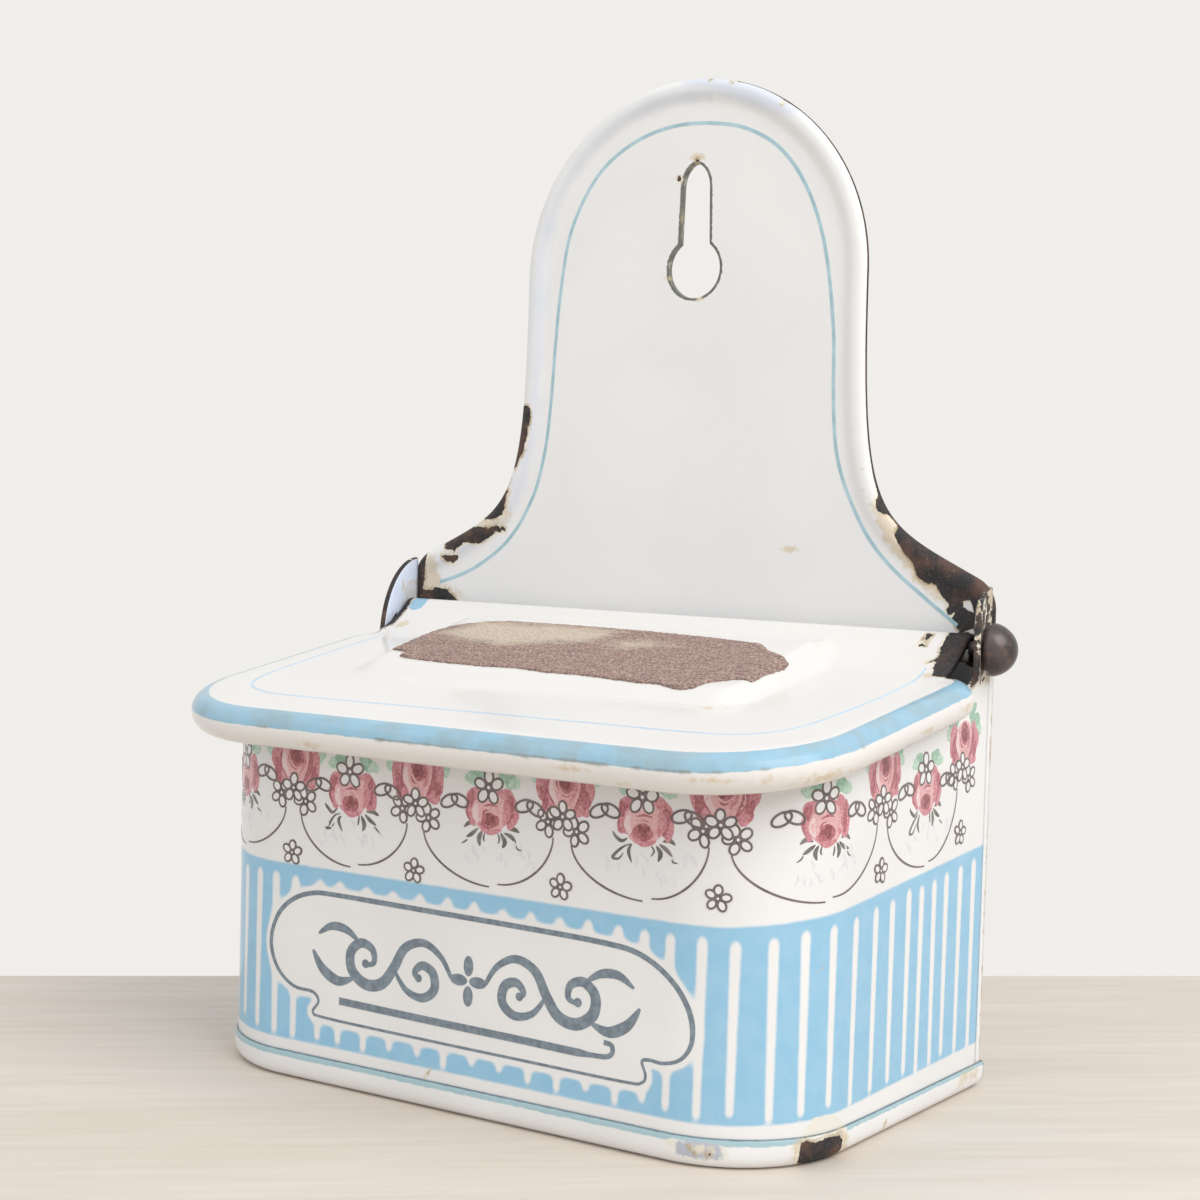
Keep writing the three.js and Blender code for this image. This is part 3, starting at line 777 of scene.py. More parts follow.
upright_rose = (
    (-3.9, 0.7, 1.5, 2.9, -4, 0.16, rose_mid), (-2.9, -2.4, 1.5, 1.6, 20, 0.16, rose_mid),
    (3.9, 0.5, 1.5, 2.9, 4, 0.16, rose_mid), (3.1, -2.4, 1.6, 1.6, -16, 0.16, rose_mid),
    (-3.8, -1, 0.8, 2.1, 4, 0.25, rose_dark), (4.1, -1.4, 0.7, 1.3, -10, 0.25, rose_dark),
    (0, 0.2, 3.3, 3.6, 0, 0.05, rose_light),
    ([(-3.1, 2.5), (-3.2, 0), (-1.9, -2.6)], 0.15, 0.55, rose_dark),
    ([(3.2, 2.6), (3.3, -0.2), (1.9, -2.8)], 0.3, 1.1, rose_dark),
    ([(-2.4, 2), (-2.5, -0.2), (-1.3, -2.2)], 0.3, 1.1, rose_pale),
    ([(1.9, 2.2), (2, 0.2), (1, -1.6)], 0.2, 0.7, rose_mid),
    ([(-1.9, -3), (0.2, -3.6), (2.2, -2.9)], 0.3, 1, rose_mid),
    (0.1, 1.3, 1.7, 2.2, 0, 0.12, rose_dark), (0.1, 1.5, 1, 1.4, 0, 0.25, rose_heart),
    ([(-1.5, 1.9), (-0.9, 0.1), (0.4, -0.6), (1.6, 0.3)], 0.1, 0.4, rose_light),
)


def leaf(x, y, half_x, half_y, turn, ink_number):
    garland.blob(wobbly(x, y, half_x, half_y, turn, 0.2), ink_number)


def sprig(x, y, side, hooked):
    """Narrow leaves and tendrils that hang below one side of a rose."""
    if hooked:
        strokes = (
            ([(3.2, -2.7), (4.4, -3.3), (5.5, -2.6), (6, -1.9)], 0.15, 0.6),
            ([(2.8, -3.4), (4, -4), (5.2, -5.2), (5.7, -6.2), (4.6, -6), (3.7, -5)], 0.1, 0.5),
            ([(2.4, -3.6), (2.9, -4.8), (2.2, -6.4)], 0.1, 0.6),
        )
    else:
        strokes = (
            ([(3, -2.5), (4.3, -2.2), (5.4, -2.9)], 0.1, 0.75),
            ([(2.6, -3), (3.8, -3.8), (5, -4.6)], 0.1, 0.7),
            ([(1.9, -3.3), (2.6, -4.5), (2.3, -5.7)], 0.1, 0.85),
            ([(4.7, -4.9), (5.2, -5.4), (5.8, -5.7)], 0.1, 0.3),
            ([(1.2, -3.4), (1.5, -4.3), (1.2, -5)], 0.1, 0.35),
        )
    for knots, thin, thick in strokes:
        jitter = [
            (side * px + hand.uniform(-0.2, 0.2), py + hand.uniform(-0.2, 0.2)) for px, py in knots
        ]
        brush(x, y, jitter, thin, thick, bud_green)


def link(x, y, side):
    """Two chain links that cross, between a rose and the daisies beside it."""
    for px, py, turn in ((-1.05, 0.0, 18), (1.1, -0.25, -26)):
        ring_line = oval(x + px * side, y + py, 1.75, 0.95, turn * side, 20)
        garland.stroke(ring_line, line_width, brown_line, closed=True)


for number, (x, y) in enumerate(low_roses):
    garland.lift = print_depth
    for side in (-1, 1):
        leaf(x + side * 3.0, y + 5.6, 1.9, 1.2, side * -25, leaf_green)
        leaf(x + side * 4.3, y + 5.0, 1.2, 0.9, side * 15, leaf_pale)
        sprig(x, y, side, hooked=side < 0 and number % 2)
    flower(x, y, hanging_rose)
    daisy(x - 0.7, y + 3.9, 2.75, 90)
    if number:
        link(x - 7.4, y + 1.2, -1)
    link(x + 7.3, y + 1.6, 1)
for x, y in high_roses:
    garland.lift = print_depth + print_step / 3
    for side in (-1, 1):
        leaf(x + side * 4.4, y + 3.2, 2.0, 1.5, side * -40, leaf_green)
        leaf(x + side * 5.4, y + 1.8, 1.3, 1.0, side * 20, leaf_pale)
        leaf(x + side * 3.0, y + 5.2, 1.8, 1.1, side * 60, leaf_green)
    flower(x, y, upright_rose)
    for px, py, reach, turn in (
        (-3, -5.2, 2.35, 65), (2.4, -6.2, 2.35, 110), (-0.3, -4.1, 2.4, 90),
    ):
        daisy(x + px, y + py, reach, turn)
    daisy(x - 0.4, y - 15.3, 2.0, 84, width=0.34)
for (x, y), before, after in zip(low_roses, [None] + high_roses, high_roses):
    garland.lift = print_depth - print_step / 3
    bottom = y - swag_drop
    for _ in range(14):
        px, py = x + hand.uniform(-7.0, 9.0), y + hand.uniform(-9.6, -5.4)
        turn = radians(hand.uniform(50, 130))
        reach = hand.uniform(0.5, 1.2)
        brush(px, py, [
            (0, 0), (reach * cos(turn) + 0.1, reach * sin(turn)),
            (2 * reach * cos(turn + 0.3), 2 * reach * sin(turn + 0.3)),
        ], 0.1, 0.45, ghost_grey)
    halves = [((after[0] - 2.0, after[1] - 7.6), (x + 1.4, bottom + 0.3))]
    if before:
        halves.append(((before[0] + 1.4, before[1] - 8.0), (x - 0.2, bottom - 0.3)))
    for start, end in halves:
        line = []
        for turn in spread(0, pi / 2, swag_steps):
            line.append((
                start[0] + (end[0] - start[0]) * (1 - cos(turn)) ** 0.85,
                start[1] + (end[1] - start[1]) * sin(turn) ** 0.9,
            ))
        garland.stroke(line, swelling(len(line), 0.24, 0.36), brown_line)
garland.finish("garland_print", "case", garland_inks)

# Bottom pan: a tray of sheet steel whose rim is crimped up round the foot of the wall, enamelled
# white, with the upper part of the rim painted blue-grey and one knock through to the iron.

plate_back = (plate_high.y - wall_low.y) / MM
pan_side_run = plate_back * hypot(1, side_lean) - corner_tangent
pan_run = front_run + corner_run + pan_side_run
pan_section = [
    (-2.2, 0), (-1.4, 0.05), (-0.7, 0.28), (-0.15, 0.7), (0.2, 1.2), (0.4, 1.8), (0.48, 2.4),
    (0.5, 3), (0.5, 3.6), (0.47, 4.1), (0.40, 4.5), (0.28, 4.8), (0.14, 4.94), (0.04, 4.9),
    (0.03, 2.6), (-0.1, 1),
]
lip_drop = 0.065
drop_start = 50
drop_run = 30
rear_spans = 24
behind = 500  # the run of points across the back, far from every mark
pan_columns = [*np.arange(-pan_run, pan_run, 0.6), pan_run]
pan_plan = [round_wall(run) for run in pan_columns]
rear_x = pan_plan[-1][0]
pan_plan += [(x, plate_back, 0, 1) for x in spread(rear_x, -rear_x, rear_spans)[1:-1]]
pan_columns += [behind] * (rear_spans - 1)
pan_points = []
pan_flat = []
for run, (x, y, out_x, out_y) in zip(pan_columns, pan_plan):
    if abs(abs(run) - pan_run) < 1e-6:
        out_y += 1
    drop = lip_drop * min(max((abs(run) - drop_start) / drop_run, 0), 1)
    for out, height in pan_section:
        height *= 1 - drop if height > 1.1 else 1
        pan_points.append(at(x + out_x * out, y + out_y * out, height))
        pan_flat.append((run, height))
pan_rows = numbered(len(pan_columns), len(pan_section))
pan_faces = faces_between(pan_rows + pan_rows[:1])
pan_faces += [tuple(row[0] for row in reversed(pan_rows)), tuple(row[-1] for row in pan_rows)]
pan_enamel = enamel("pan enamel", (
    ("band", (0.36, 0.53, 0.58, 1), 0.16, 0.25, 700.0),
    ("cream", cream, 0.25, 0.5, 500.0),
    ("worn", (0.47, 0.50, 0.57, 1), 0.3, 0.9, 800.0),
    # The "dark" zone is painted shadow in the crease at the rim's top.
    ("dark", (0.14, 0.20, 0.23, 1), 0.08, 0.10, 900.0),
))
pan = new_piece("bottom_pan_enamelled", pan_points, pan_faces, "case", pan_enamel)
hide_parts("bottom_pan")
pan_flat = np.array(pan_flat)
pan_runs, pan_heights = pan_flat.T
band_start = 3.85
seam_shade_start = 4.72
dropped = np.clip((np.abs(pan_runs) - drop_start) / drop_run, 0, 1)
mark(pan, "band", pan_heights - band_start)
# Painted shadow: a thin dark line along the top of the rim, in the crease where it meets the wall.
mark(pan, "dark", pan_heights - seam_shade_start + 0.3 * dropped)
knock_border = [
    (60.6, 3.4), (60.4, 5.4), (71, 5.4), (71, 3), (69.4, 2), (69.6, 4.2), (61.6, 4.2),
]
rubbed_border = [(38.6, 3.6), (40.2, 4.4), (48.6, 4.2), (49.4, 2.2), (46.6, 1.6), (41, 2.0)]
rubbed = [(41.2, 3.8), (44.6, 4.3), (47.6, 4.0), (47.9, 1.9), (43.4, 1.7), (41.3, 2.1)]
knock = [
    (60.4, 4.2), (59.9, 2.3), (60.2, 0.4), (64.7, -0.4), (69.6, 0), (69.8, 2.9), (68, 4),
    (64.6, 3.8),
]
side_nick = [(83.0, 1.2), (83.8, 1.0), (84.2, 2.6), (83.4, 2.2)]
knock_stain = [(58.4, 5.2), (58.2, 0.6), (62, -1), (72, -0.4), (72.2, 4.0), (70, 5.4)]
side_stain = [(109.5, 1.6), (118.4, 1.4), (118.6, 4.6), (110.2, 4.6)]
mark(pan, "cream", np.maximum(
    inside_by(pan_flat, knock_border), inside_by(pan_flat, rubbed_border) - 0.25,
))
mark(pan, "worn", inside_by(pan_flat, rubbed) + 0.2)
pan_chip = np.maximum(inside_by(pan_flat, knock) - 0.2, inside_by(pan_flat, side_nick) - 0.3)
for x, height in ((43.2, 3.2), (44.1, 2.7), (45.0, 3.4), (46.2, 2.6), (46.6, 3.2)):
    speck = 0.10 - 0.8 * np.hypot(pan_runs - x, pan_heights - height)
    pan_chip = np.maximum(pan_chip, speck)
mark(pan, "chip", pan_chip)
mark(pan, "stain", np.maximum(
    inside_by(pan_flat, knock_stain) - 0.3, inside_by(pan_flat, side_stain) - 0.2,
))

# Back plate: pressed sheet steel with an arched top and a keyhole for a nail, a raised border and
# an edge turned back towards the wall, enamelled white, with a thin blue line painted by hand.

total_height = plate_high.z / MM
edge_radius = 1.6
border_crest = 0.6
border_slope = 2.6
border_rise = 0.9
field_y = body_depth + border_rise
arch_radius = 36.4
shoulder_height = 89.3
shoulder_radius = 6
shoulder_slope = radians(26.2)
upper_pull = 0.84
lower_pull = 0.41
plate_half = (plate_high.x - plate_low.x) / 2 / MM


def evenly(line, step, closed=False):
    """The same line with points a set distance apart."""
    line = np.array([*line, line[0]] if closed else line, float)
    lengths = np.hypot(*np.diff(line, axis=0).T)
    run = np.concatenate([[0], np.cumsum(lengths)])
    wanted = np.linspace(0, run[-1], max(2, round(run[-1] / step) + 1))
    even = np.column_stack([np.interp(wanted, run, line[:, 0]), np.interp(wanted, run, line[:, 1])])
    return even[:-1] if closed else even


def arc(x, y, radius, start, sweep, steps):
    """Points on a round arc, from a start angle through a sweep."""
    return [
        (x + radius * cos(turn), y + radius * sin(turn))
        for turn in (start + sweep * k / steps for k in range(steps + 1))
    ]


def curve(knots, shares):
    """Places on the curve that leaves its first knot for the second and ends from the third."""
    first, first_pull, last_pull, last = (np.array(knot, float) for knot in knots)
    return [
        (1 - t) ** 3 * first + 3 * (1 - t) ** 2 * t * first_pull
        + 3 * (1 - t) * t * t * last_pull + t ** 3 * last
        for t in shares
    ]


def half_outline():
    """The plate's right edge from the foot to the top: shoulder, neck and arch."""
    arch_z = total_height - arch_radius
    neck = arch_z - shoulder_height
    centre_x = plate_half - shoulder_radius
    centre_z = shoulder_height - shoulder_radius * cos(shoulder_slope)
    meet_x = centre_x + shoulder_radius * sin(shoulder_slope)
    pull = neck * lower_pull
    pull_x = meet_x - pull * cos(shoulder_slope)
    pull_z = shoulder_height + pull * sin(shoulder_slope)
    knots = [
        (meet_x, shoulder_height), (pull_x, pull_z), (arch_radius, arch_z - neck * upper_pull),
        (arch_radius, arch_z),
    ]
    shoulder = arc(centre_x, centre_z, shoulder_radius, 0, pi / 2 - shoulder_slope, 12)
    neck_line = [tuple(point) for point in curve(knots, spread(0, 1, 40)[1:])]
    arch = arc(0, arch_z, arch_radius, 0, pi / 2, 40)[1:]
    return [(plate_half, floor_height), *shoulder, *neck_line, *arch]


def left_of(line):
    """The direction square to a line, to its left, at each of its points."""
    along = np.gradient(line, axis=0)
    along /= np.hypot(*along.T)[:, None]
    return np.column_stack([-along[:, 1], along[:, 0]])


def set_in(line, distance):
    """A line moved to its left side, with its two ends kept at their own heights."""
    moved = line + left_of(line) * distance
    moved[[0, -1], 1] = line[[0, -1], 1]
    moved[0, 0], moved[-1, 0] = line[0, 0] - distance, line[-1, 0] + distance
    return moved


def filled(outline, holes, step, extra=()):
    """Points and triangles that fill an outline, and each given point's number among them."""
    outline = np.asarray(outline, float)
    low, high = outline.min(0), outline.max(0)
    rows = []
    for i, y in enumerate(np.arange(low[1], high[1], step * 0.87)):
        xs = np.arange(low[0] + (i % 2) * step / 2, high[0], step)
        rows.append(np.column_stack([xs, np.full(len(xs), y)]))
    inner = np.vstack(rows)
    keep = inside_by(inner, outline) > step * 0.45
    for hole in holes:
        keep &= inside_by(inner, hole) < -step * 0.45
    loops = [outline, *holes]
    points = np.vstack([*loops, *extra, inner[keep]])
    edges = []
    start = 0
    for loop in loops:
        count = len(loop)
        edges += [(start + i, start + (i + 1) % count) for i in range(count)]
        start += count
    found = geometry.delaunay_2d_cdt([Vector(point) for point in points], edges, [], 1, 1e-7)
    places = np.array([tuple(point) for point in found[0]])
    centres = np.array([places[list(face)].mean(0) for face in found[2]])
    good = inside_by(centres, outline) > 0
    for hole in holes:
        good &= inside_by(centres, hole) < 0
    order = np.full(len(points), -1)
    for new, parents in enumerate(found[3]):
        if parents:
            order[parents[0]] = new
    return places, [tuple(face) for face, ok in zip(found[2], good) if ok], order.tolist()


right_edge = half_outline()
whole_edge = evenly(right_edge + [(-x, z) for x, z in reversed(right_edge[:-1])], 0.85)
plate_rings = [
    (edge_radius - edge_radius * sin(turn), body_depth + edge_radius - edge_radius * cos(turn))
    for turn in map(radians, (90, 72, 54, 36, 18, 0))
]
plate_rings.append((edge_radius + border_crest * 0.5, body_depth))
for share in (0, 0.2, 0.4, 0.6, 0.8, 1):
    rise = share * share * (3 - 2 * share)
    plate_rings.append(
        (edge_radius + border_crest + border_slope * share, body_depth + border_rise * rise)
    )
edge_rings = [set_in(whole_edge, distance) for distance, _ in plate_rings]
edge_count = len(whole_edge)
plate_points = []
plate_flat = []
for ring_line, (_, depth) in zip(edge_rings, plate_rings):
    plate_points += [at(x, depth, z) for x, z in ring_line]
    plate_flat += [tuple(point) for point in ring_line]
plate_faces = faces_between(numbered(len(plate_rings), edge_count), flip=True)
eye_radius = 5.5
eye_z = total_height - 35.3
slot_half = 3.15
slot_top = total_height - 15.8
slot_dome = slot_half * 1.3
slot_narrowing = 0.09
slot_steps = 12
key_x = 0.9


def keyhole(grow):
    """The keyhole's edge, moved out by a distance; its slot narrows a little towards its top."""
    eye = eye_radius + grow
    half = slot_half + grow
    meet = asin(half / eye)
    start_z = eye_z + eye * cos(meet)
    end_z = slot_top - slot_dome
    line = arc(key_x, eye_z, eye, pi / 2 + meet, 2 * pi - 2 * meet, 28)
    side_z = spread(start_z, end_z, slot_steps)
    side = [
        (half * (1 - slot_narrowing * k / slot_steps), side_z[k]) for k in range(1, slot_steps)
    ]
    line += [(key_x + x, z) for x, z in side]
    for turn in spread(0, pi, slot_steps):
        narrow = 1 - slot_narrowing - 0.14 * sin(turn) ** 2
        rise = (slot_dome + grow) * sin(turn)
        line.append((key_x + half * narrow * cos(turn), end_z + rise))
    return line + [(key_x - x, z) for x, z in reversed(side)]


key_edge = evenly(keyhole(0), 0.45, closed=True)
key_rings = [evenly(keyhole(grow), 0.5, closed=True) for grow in (0.25, 0.5, 0.9, 1.4)]
field_edge = edge_rings[-1]
foot_steps = 120
foot_x = np.linspace(field_edge[-1][0], field_edge[0][0], foot_steps)[1:-1]
foot_line = np.column_stack([foot_x, np.full(foot_steps - 2, floor_height)])
places, triangles, order = filled(np.vstack([field_edge, foot_line]), [key_edge], 1.1, key_rings)
last_ring = len(plate_points) - edge_count
numbers = {order[i]: last_ring + i for i in range(edge_count)}
for i, (x, z) in enumerate(places):
    if i not in numbers:
        numbers[i] = len(plate_points)
        plate_points.append(at(x, field_y, z))
        plate_flat.append((x, z))
plate_faces += [tuple(numbers[i] for i in face) for face in triangles]
# The lavender grey "thin" zone: enamel worn thin on the arch, painted shade on the left border
# slope.
plate_enamel = enamel("plate enamel", (
    ("thin", (0.66, 0.695, 0.77, 1), 1.4, 0.9, 160.0),
    ("raw", (0.135, 0.140, 0.118, 1), 0.10, 0.35, 1400.0),
))
plate = new_piece("back_plate_enamelled", plate_points, plate_faces, "case", plate_enamel)
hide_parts("back_plate")
plate_flat = np.array(plate_flat)
plate_depth = np.array([(point.y - front_y) / MM for point in plate_points])
chip_outlines = [
    [(44.8, 99.6), (43.6, 96.3), (45.1, 94.3), (46.4, 92.3), (47.8, 89.7), (49.1, 88.1),
     (51.3, 88.1), (52.7, 86.1), (54.3, 84.4), (55.8, 82.8), (56.6, 79.2), (57.5, 74), (66, 74),
     (66, 92), (52, 100)],
    [(40.2, 106.2), (39.9, 102.4), (40.4, 100.6), (41.7, 99.9), (43.4, 101), (43, 105)],
    [(-34.6, 118.6), (-35.2, 111.9), (-36.6, 108.9), (-38.2, 106.4), (-40, 108), (-38, 119)],
    [(-39.6, 102.4), (-40.6, 97.3), (-42.3, 96.7), (-46, 96.2), (-44, 103)],
    [(-40.5, 95.2), (-43.2, 94.7), (-46.4, 94.7), (-52, 94.4), (-55.5, 91.5), (-54.2, 89.8),
     (-52, 89.9), (-50.4, 91.3), (-46.3, 91.4), (-43.1, 93.6), (-40.6, 94.1)],
    [(-55.6, 88.9), (-55.3, 87.2), (-52.8, 87.1), (-51.8, 88.7)],
    [(-61.8, 89.6), (-59.4, 89.3), (-59.8, 84), (-60.6, 79.3), (-62.4, 79)],
    [(-60.2, 79), (-51.6, 79.2), (-54.3, 81.5), (-57.2, 82.1), (-60.6, 81)],
]
flakes = [
    [(56, 85.2), (58.3, 85.5), (59.3, 83.2), (57.6, 83.7)],
    [(57.2, 79.9), (59.2, 80.7), (59.7, 79.2)],
]
chip_dots = (
    (56.9, 81.4, 1.5), (54.6, 83.2, 0.8), (-2.9, 161.4, 0.45), (1, 164.7, 0.4),
    (2.1, 139.3, 0.3), (18.7, 174, 0.25), (8, 178.6, 0.2), (3.6, 179.4, 0.3),
)
plate_chip = np.maximum(deepest(plate_flat, chip_outlines), unharmed)
plate_chip = np.minimum(plate_chip, -deepest(plate_flat, flakes) * 2.5)
plate_chip = np.maximum(plate_chip, within_dots(plate_flat, chip_dots))
key_distance = -inside_by(plate_flat, key_edge)
mark(plate, "raw", 0.80 - 1.5 * key_distance)
plate_chip = np.maximum(plate_chip, -0.62 - 0.9 * key_distance)
raw_edge = plate_depth > body_depth + edge_radius - 0.6
bare_edge = (plate_flat[:, 0] > 9) & (plate_flat[:, 1] > 90)
edge_chip = np.where(bare_edge, 0.35, np.maximum(plate_chip, -0.45))
mark(plate, "chip", np.where(raw_edge, edge_chip, plate_chip))
stain_outlines = [
    [(38.4, 103), (38.9, 99), (41.6, 94.3), (44.6, 90.6), (47.2, 87.6), (51.4, 84.9), (54.6, 82),
     (60, 86), (48, 103)],
    [(-59.6, 90), (-62, 82), (-61, 79), (-48, 79.4), (-51.2, 82.1), (-55.4, 83.3), (-56.6, 89)],
    [(-38, 106), (-39, 96), (-44, 94), (-52, 95), (-48, 99), (-41, 106)],
    [(0, 164.6), (0.6, 166.2), (1.8, 166), (2.6, 164.4)],
]
stain_dots = (
    (22.2, 92.8, 1.9), (23.8, 93.2, 1.6), (2.1, 139, 1.3), (1.2, 165.4, 1.9), (-3, 161.6, 1.2),
    (36.4, 108, 1.2), (-4.4, 143, 1), (37.5, 104, 0.9),
)
plate_stain = np.maximum(deepest(plate_flat, stain_outlines) - 0.3, unharmed)
mark(plate, "stain", np.maximum(plate_stain, within_dots(plate_flat, stain_dots, squash=2.2)))
edge_distance = inside_by(plate_flat, whole_edge)
worn_arch = inside_by(plate_flat, [
    (-6, 182), (-2, 178.3), (4, 177), (8, 175.4), (18, 171.6), (23, 171), (26, 178), (10, 182),
]) - 0.4
# Painted shade: a lavender grey band on the left half of the border's slope, about 3 mm in from the
# edge.
left_slope_shade = np.where(plate_flat[:, 0] < 4, 0.6 - np.abs(edge_distance - 3.1) * 0.8, -3)
mark(plate, "thin", np.maximum(worn_arch, left_slope_shade))


def thicken(piece, thickness):
    """Gives a surface the thickness of its sheet, away from the side that is seen."""
    layer = piece.modifiers.new("sheet", "SOLIDIFY")
    layer.thickness = thickness * MM
    layer.offset = -1
    return layer


thicken(plate, sheet)

plate_line = smooth_line([
    (55.9, 80.9), (49.4, 85.6), (43.2, 90.4), (38.4, 95.6), (34.8, 101.8), (32.4, 107.5),
    (31.1, 113.5), (30.5, 122), (30.1, 133.1), (28.1, 147), (24.5, 157.5), (19.1, 165.2),
    (12.3, 169.6), (4.7, 171.4), (-4.6, 171.4), (-13.6, 168.6), (-21.1, 162.9), (-26.6, 153.1),
    (-28.7, 142), (-29.7, 131), (-30.4, 120.1), (-31.4, 111), (-33.3, 103.2), (-35.7, 98.1),
    (-38, 94.5), (-40.9, 91.3), (-44.4, 88.6), (-48.4, 86.2), (-52.4, 84.5), (-56.4, 83.2),
], 5)


def plate_place(x, z, lift):
    return at(x, field_y - lift, z)


plate_print = Transfer(plate_place)
plate_print.stroke(plate_line, 0.68)
line_blue = ink("blue line", (0.33, 0.51, 0.57, 1), (0.44, 0.62, 0.69, 1), 300.0)
plate_print.finish("plate_blue_line", "case", [line_blue])

# Lid: pressed sheet steel with a rolled rim, a raised panel for striking, and a tongue at the back
# that is curled round the hinge rod. Enamelled white, with its rim's upper half and a line in blue.

tilt = mouth_slope
lid_top = -2.85
lid_sheet = 1.0
lid_gap = 0.3
rim_radius = 3.2
rear_radius = 4
overhang = 7.7
front_side_reach = 2.6
rear_side_reach = 1.7
barrel_radius = 2.5
ramp_length = 14.5
axis_inset = 3.2
axis_y = body_depth - axis_inset
axis_z = mouth_front + mouth_rise * axis_y + (-lid_top + lid_sheet + lid_gap) / cos(tilt)
lid_front = -axis_y / cos(tilt) - overhang
lid_rear = -(ramp_length - axis_inset) / cos(tilt)
barrel_turn = 130
barrel_angle = radians(barrel_turn)
tongue_half = (
    front_width / 2 + side_lean * ear_front_y - sheet * hypot(1, side_lean) - lid_gap
)


def lid_place(x, y, height):
    """A place on the lid, from the hinge axis: across, back along the lid, and square to it."""
    return at(
        x, axis_y + y * cos(tilt) - height * sin(tilt),
        axis_z + y * sin(tilt) + height * cos(tilt),
    )


def rounded(corners, steps):
    """A closed outline with its corners rounded; each corner is a place and a radius."""
    line = []
    count = len(corners)
    for i, (x, y, radius) in enumerate(corners):
        corner = Vector((x, y))
        into = (corner - Vector(corners[i - 1][:2])).normalized()
        away = (Vector(corners[(i + 1) % count][:2]) - corner).normalized()
        turn = acos(max(-1, min(1, into.dot(away))))
        centre = corner + (away - into).normalized() * radius / cos(turn / 2)
        line += arc(centre.x, centre.y, radius, atan2(-into.x, into.y), turn, steps)
    return line


front_half = front_width / 2 - side_lean * overhang + front_side_reach
rear_half = front_width / 2 + side_lean * (axis_y + lid_rear) + rear_side_reach
lid_corners = [
    (front_half, lid_front, corner_radius), (rear_half, lid_rear, rear_radius),
    (-rear_half, lid_rear, rear_radius), (-front_half, lid_front, corner_radius),
]
corner_steps = 14
lid_plan = rounded(lid_corners, corner_steps)
front_right, front_left = lid_plan[:corner_steps + 1], lid_plan[-corner_steps - 1:]
rear_right = [
    (x, y) for x, y in lid_plan
    if y > lid_rear - rear_radius - lid_gap and x > tongue_half + lid_gap
]
crest = [(-x, y) for x, y in reversed(rear_right)] + front_left + front_right + rear_right
crest = evenly(crest, 0.8)
crest_count = len(crest)
crest_out = -left_of(crest)
rim_turns = [*range(90, -91, -12), -97]

barrel_start = Vector((cos(barrel_angle), sin(barrel_angle))) * barrel_radius
ramp_knots = [
    (-ramp_length, lid_top), (-ramp_length + 5, lid_top + 0.55),
    (barrel_start.x - 2.2, barrel_start.y - 1.87), tuple(barrel_start),
]
ramp_line = np.array(curve(ramp_knots, np.linspace(0, 1, 40)))
panel_middle = -2.0
panel_half = 39.0
panel_front = -43.0
panel_crease = -10.6
panel_rear = -3.2
panel_corner = 4.5
front_rise = 2.0
slope_rise = 2.4
crease_rise = 4.4
rear_fall = 1.1


def lid_height(x, y):
    """Height of the lid's upper side over its own plane."""
    x, y = np.asarray(x, float), np.asarray(y, float)
    tongue = np.interp(y, ramp_line[:, 0], ramp_line[:, 1])
    slope = slope_rise / (panel_crease - panel_front) * (y - panel_front)
    fall = rear_fall * (y - panel_crease) / (panel_rear - panel_crease)
    crown = np.where(y < panel_crease, lid_top + front_rise + slope, lid_top + crease_rise - fall)
    crown = -softened_least(-crown, -np.full_like(crown, lid_top), 0.4)
    corner = np.hypot(
        np.maximum(np.abs(x - panel_middle) - panel_half + panel_corner, 0),
        np.maximum(panel_front + panel_corner - y, 0),
    ) - panel_corner
    share = np.clip(0.5 - corner / 5.0, 0, 1)
    share = share * share * (3 - 2 * share)
    panel = lid_top + (crown - lid_top) * share
    return -softened_least(-tongue, -panel, 0.5)


tongue_side_y = crest[0][1]
side_steps = np.linspace(tongue_side_y, barrel_start.x, 14)[1:-1]
rear_steps = np.linspace(tongue_half, -tongue_half, 150)
top_outline = np.vstack([
    crest,
    [(tongue_half, crest[-1][1])],
    [(tongue_half, y) for y in side_steps],
    [(x, barrel_start.x) for x in rear_steps],
    [(-tongue_half, y) for y in side_steps[::-1]],
    [(-tongue_half, tongue_side_y)],
])
places, triangles, order = filled(top_outline, [], 1.0)
lid_points = [lid_place(x, y, float(lid_height(x, y))) for x, y in places]
lid_flat = [tuple(point) for point in places]
off_rim = -1.0
lid_arc = [off_rim] * len(places)
lid_rows = [order[:crest_count]]
for number in lid_rows[0]:
    lid_points[number] = lid_place(*places[number], lid_top)
    lid_arc[number] = 0.0
for turn in rim_turns[1:]:
    angle = radians(turn)
    out = rim_radius * cos(angle)
    height = lid_top - rim_radius + rim_radius * sin(angle)
    lid_rows += numbered(1, crest_count, len(lid_points))
    rim_line = crest + crest_out * out
    lid_points += [lid_place(x, y, height) for x, y in rim_line]
    lid_flat += [tuple(point) for point in rim_line]
    lid_arc += [rim_radius * radians(90 - turn)] * crest_count
rear_first = crest_count + 1 + len(side_steps)
barrel_rows = [order[rear_first:rear_first + len(rear_steps)]]
for number in barrel_rows[0]:
    lid_points[number] = lid_place(places[number][0], barrel_start.x, barrel_start.y)
for turn in range(120, -190, -12):
    angle = radians(turn)
    y, height = barrel_radius * cos(angle), barrel_radius * sin(angle)
    unrolled = barrel_start.x + barrel_radius * radians(barrel_turn - turn)
    barrel_rows += numbered(1, len(rear_steps), len(lid_points))
    lid_points += [lid_place(x, y, height) for x in rear_steps]
    lid_flat += [(x, unrolled) for x in rear_steps]
    lid_arc += [off_rim] * len(rear_steps)
lid_faces = triangles + faces_between(lid_rows) + faces_between(barrel_rows)
lid_white = (0.785, 0.76, 0.735, 1), (0.80, 0.775, 0.745, 1)
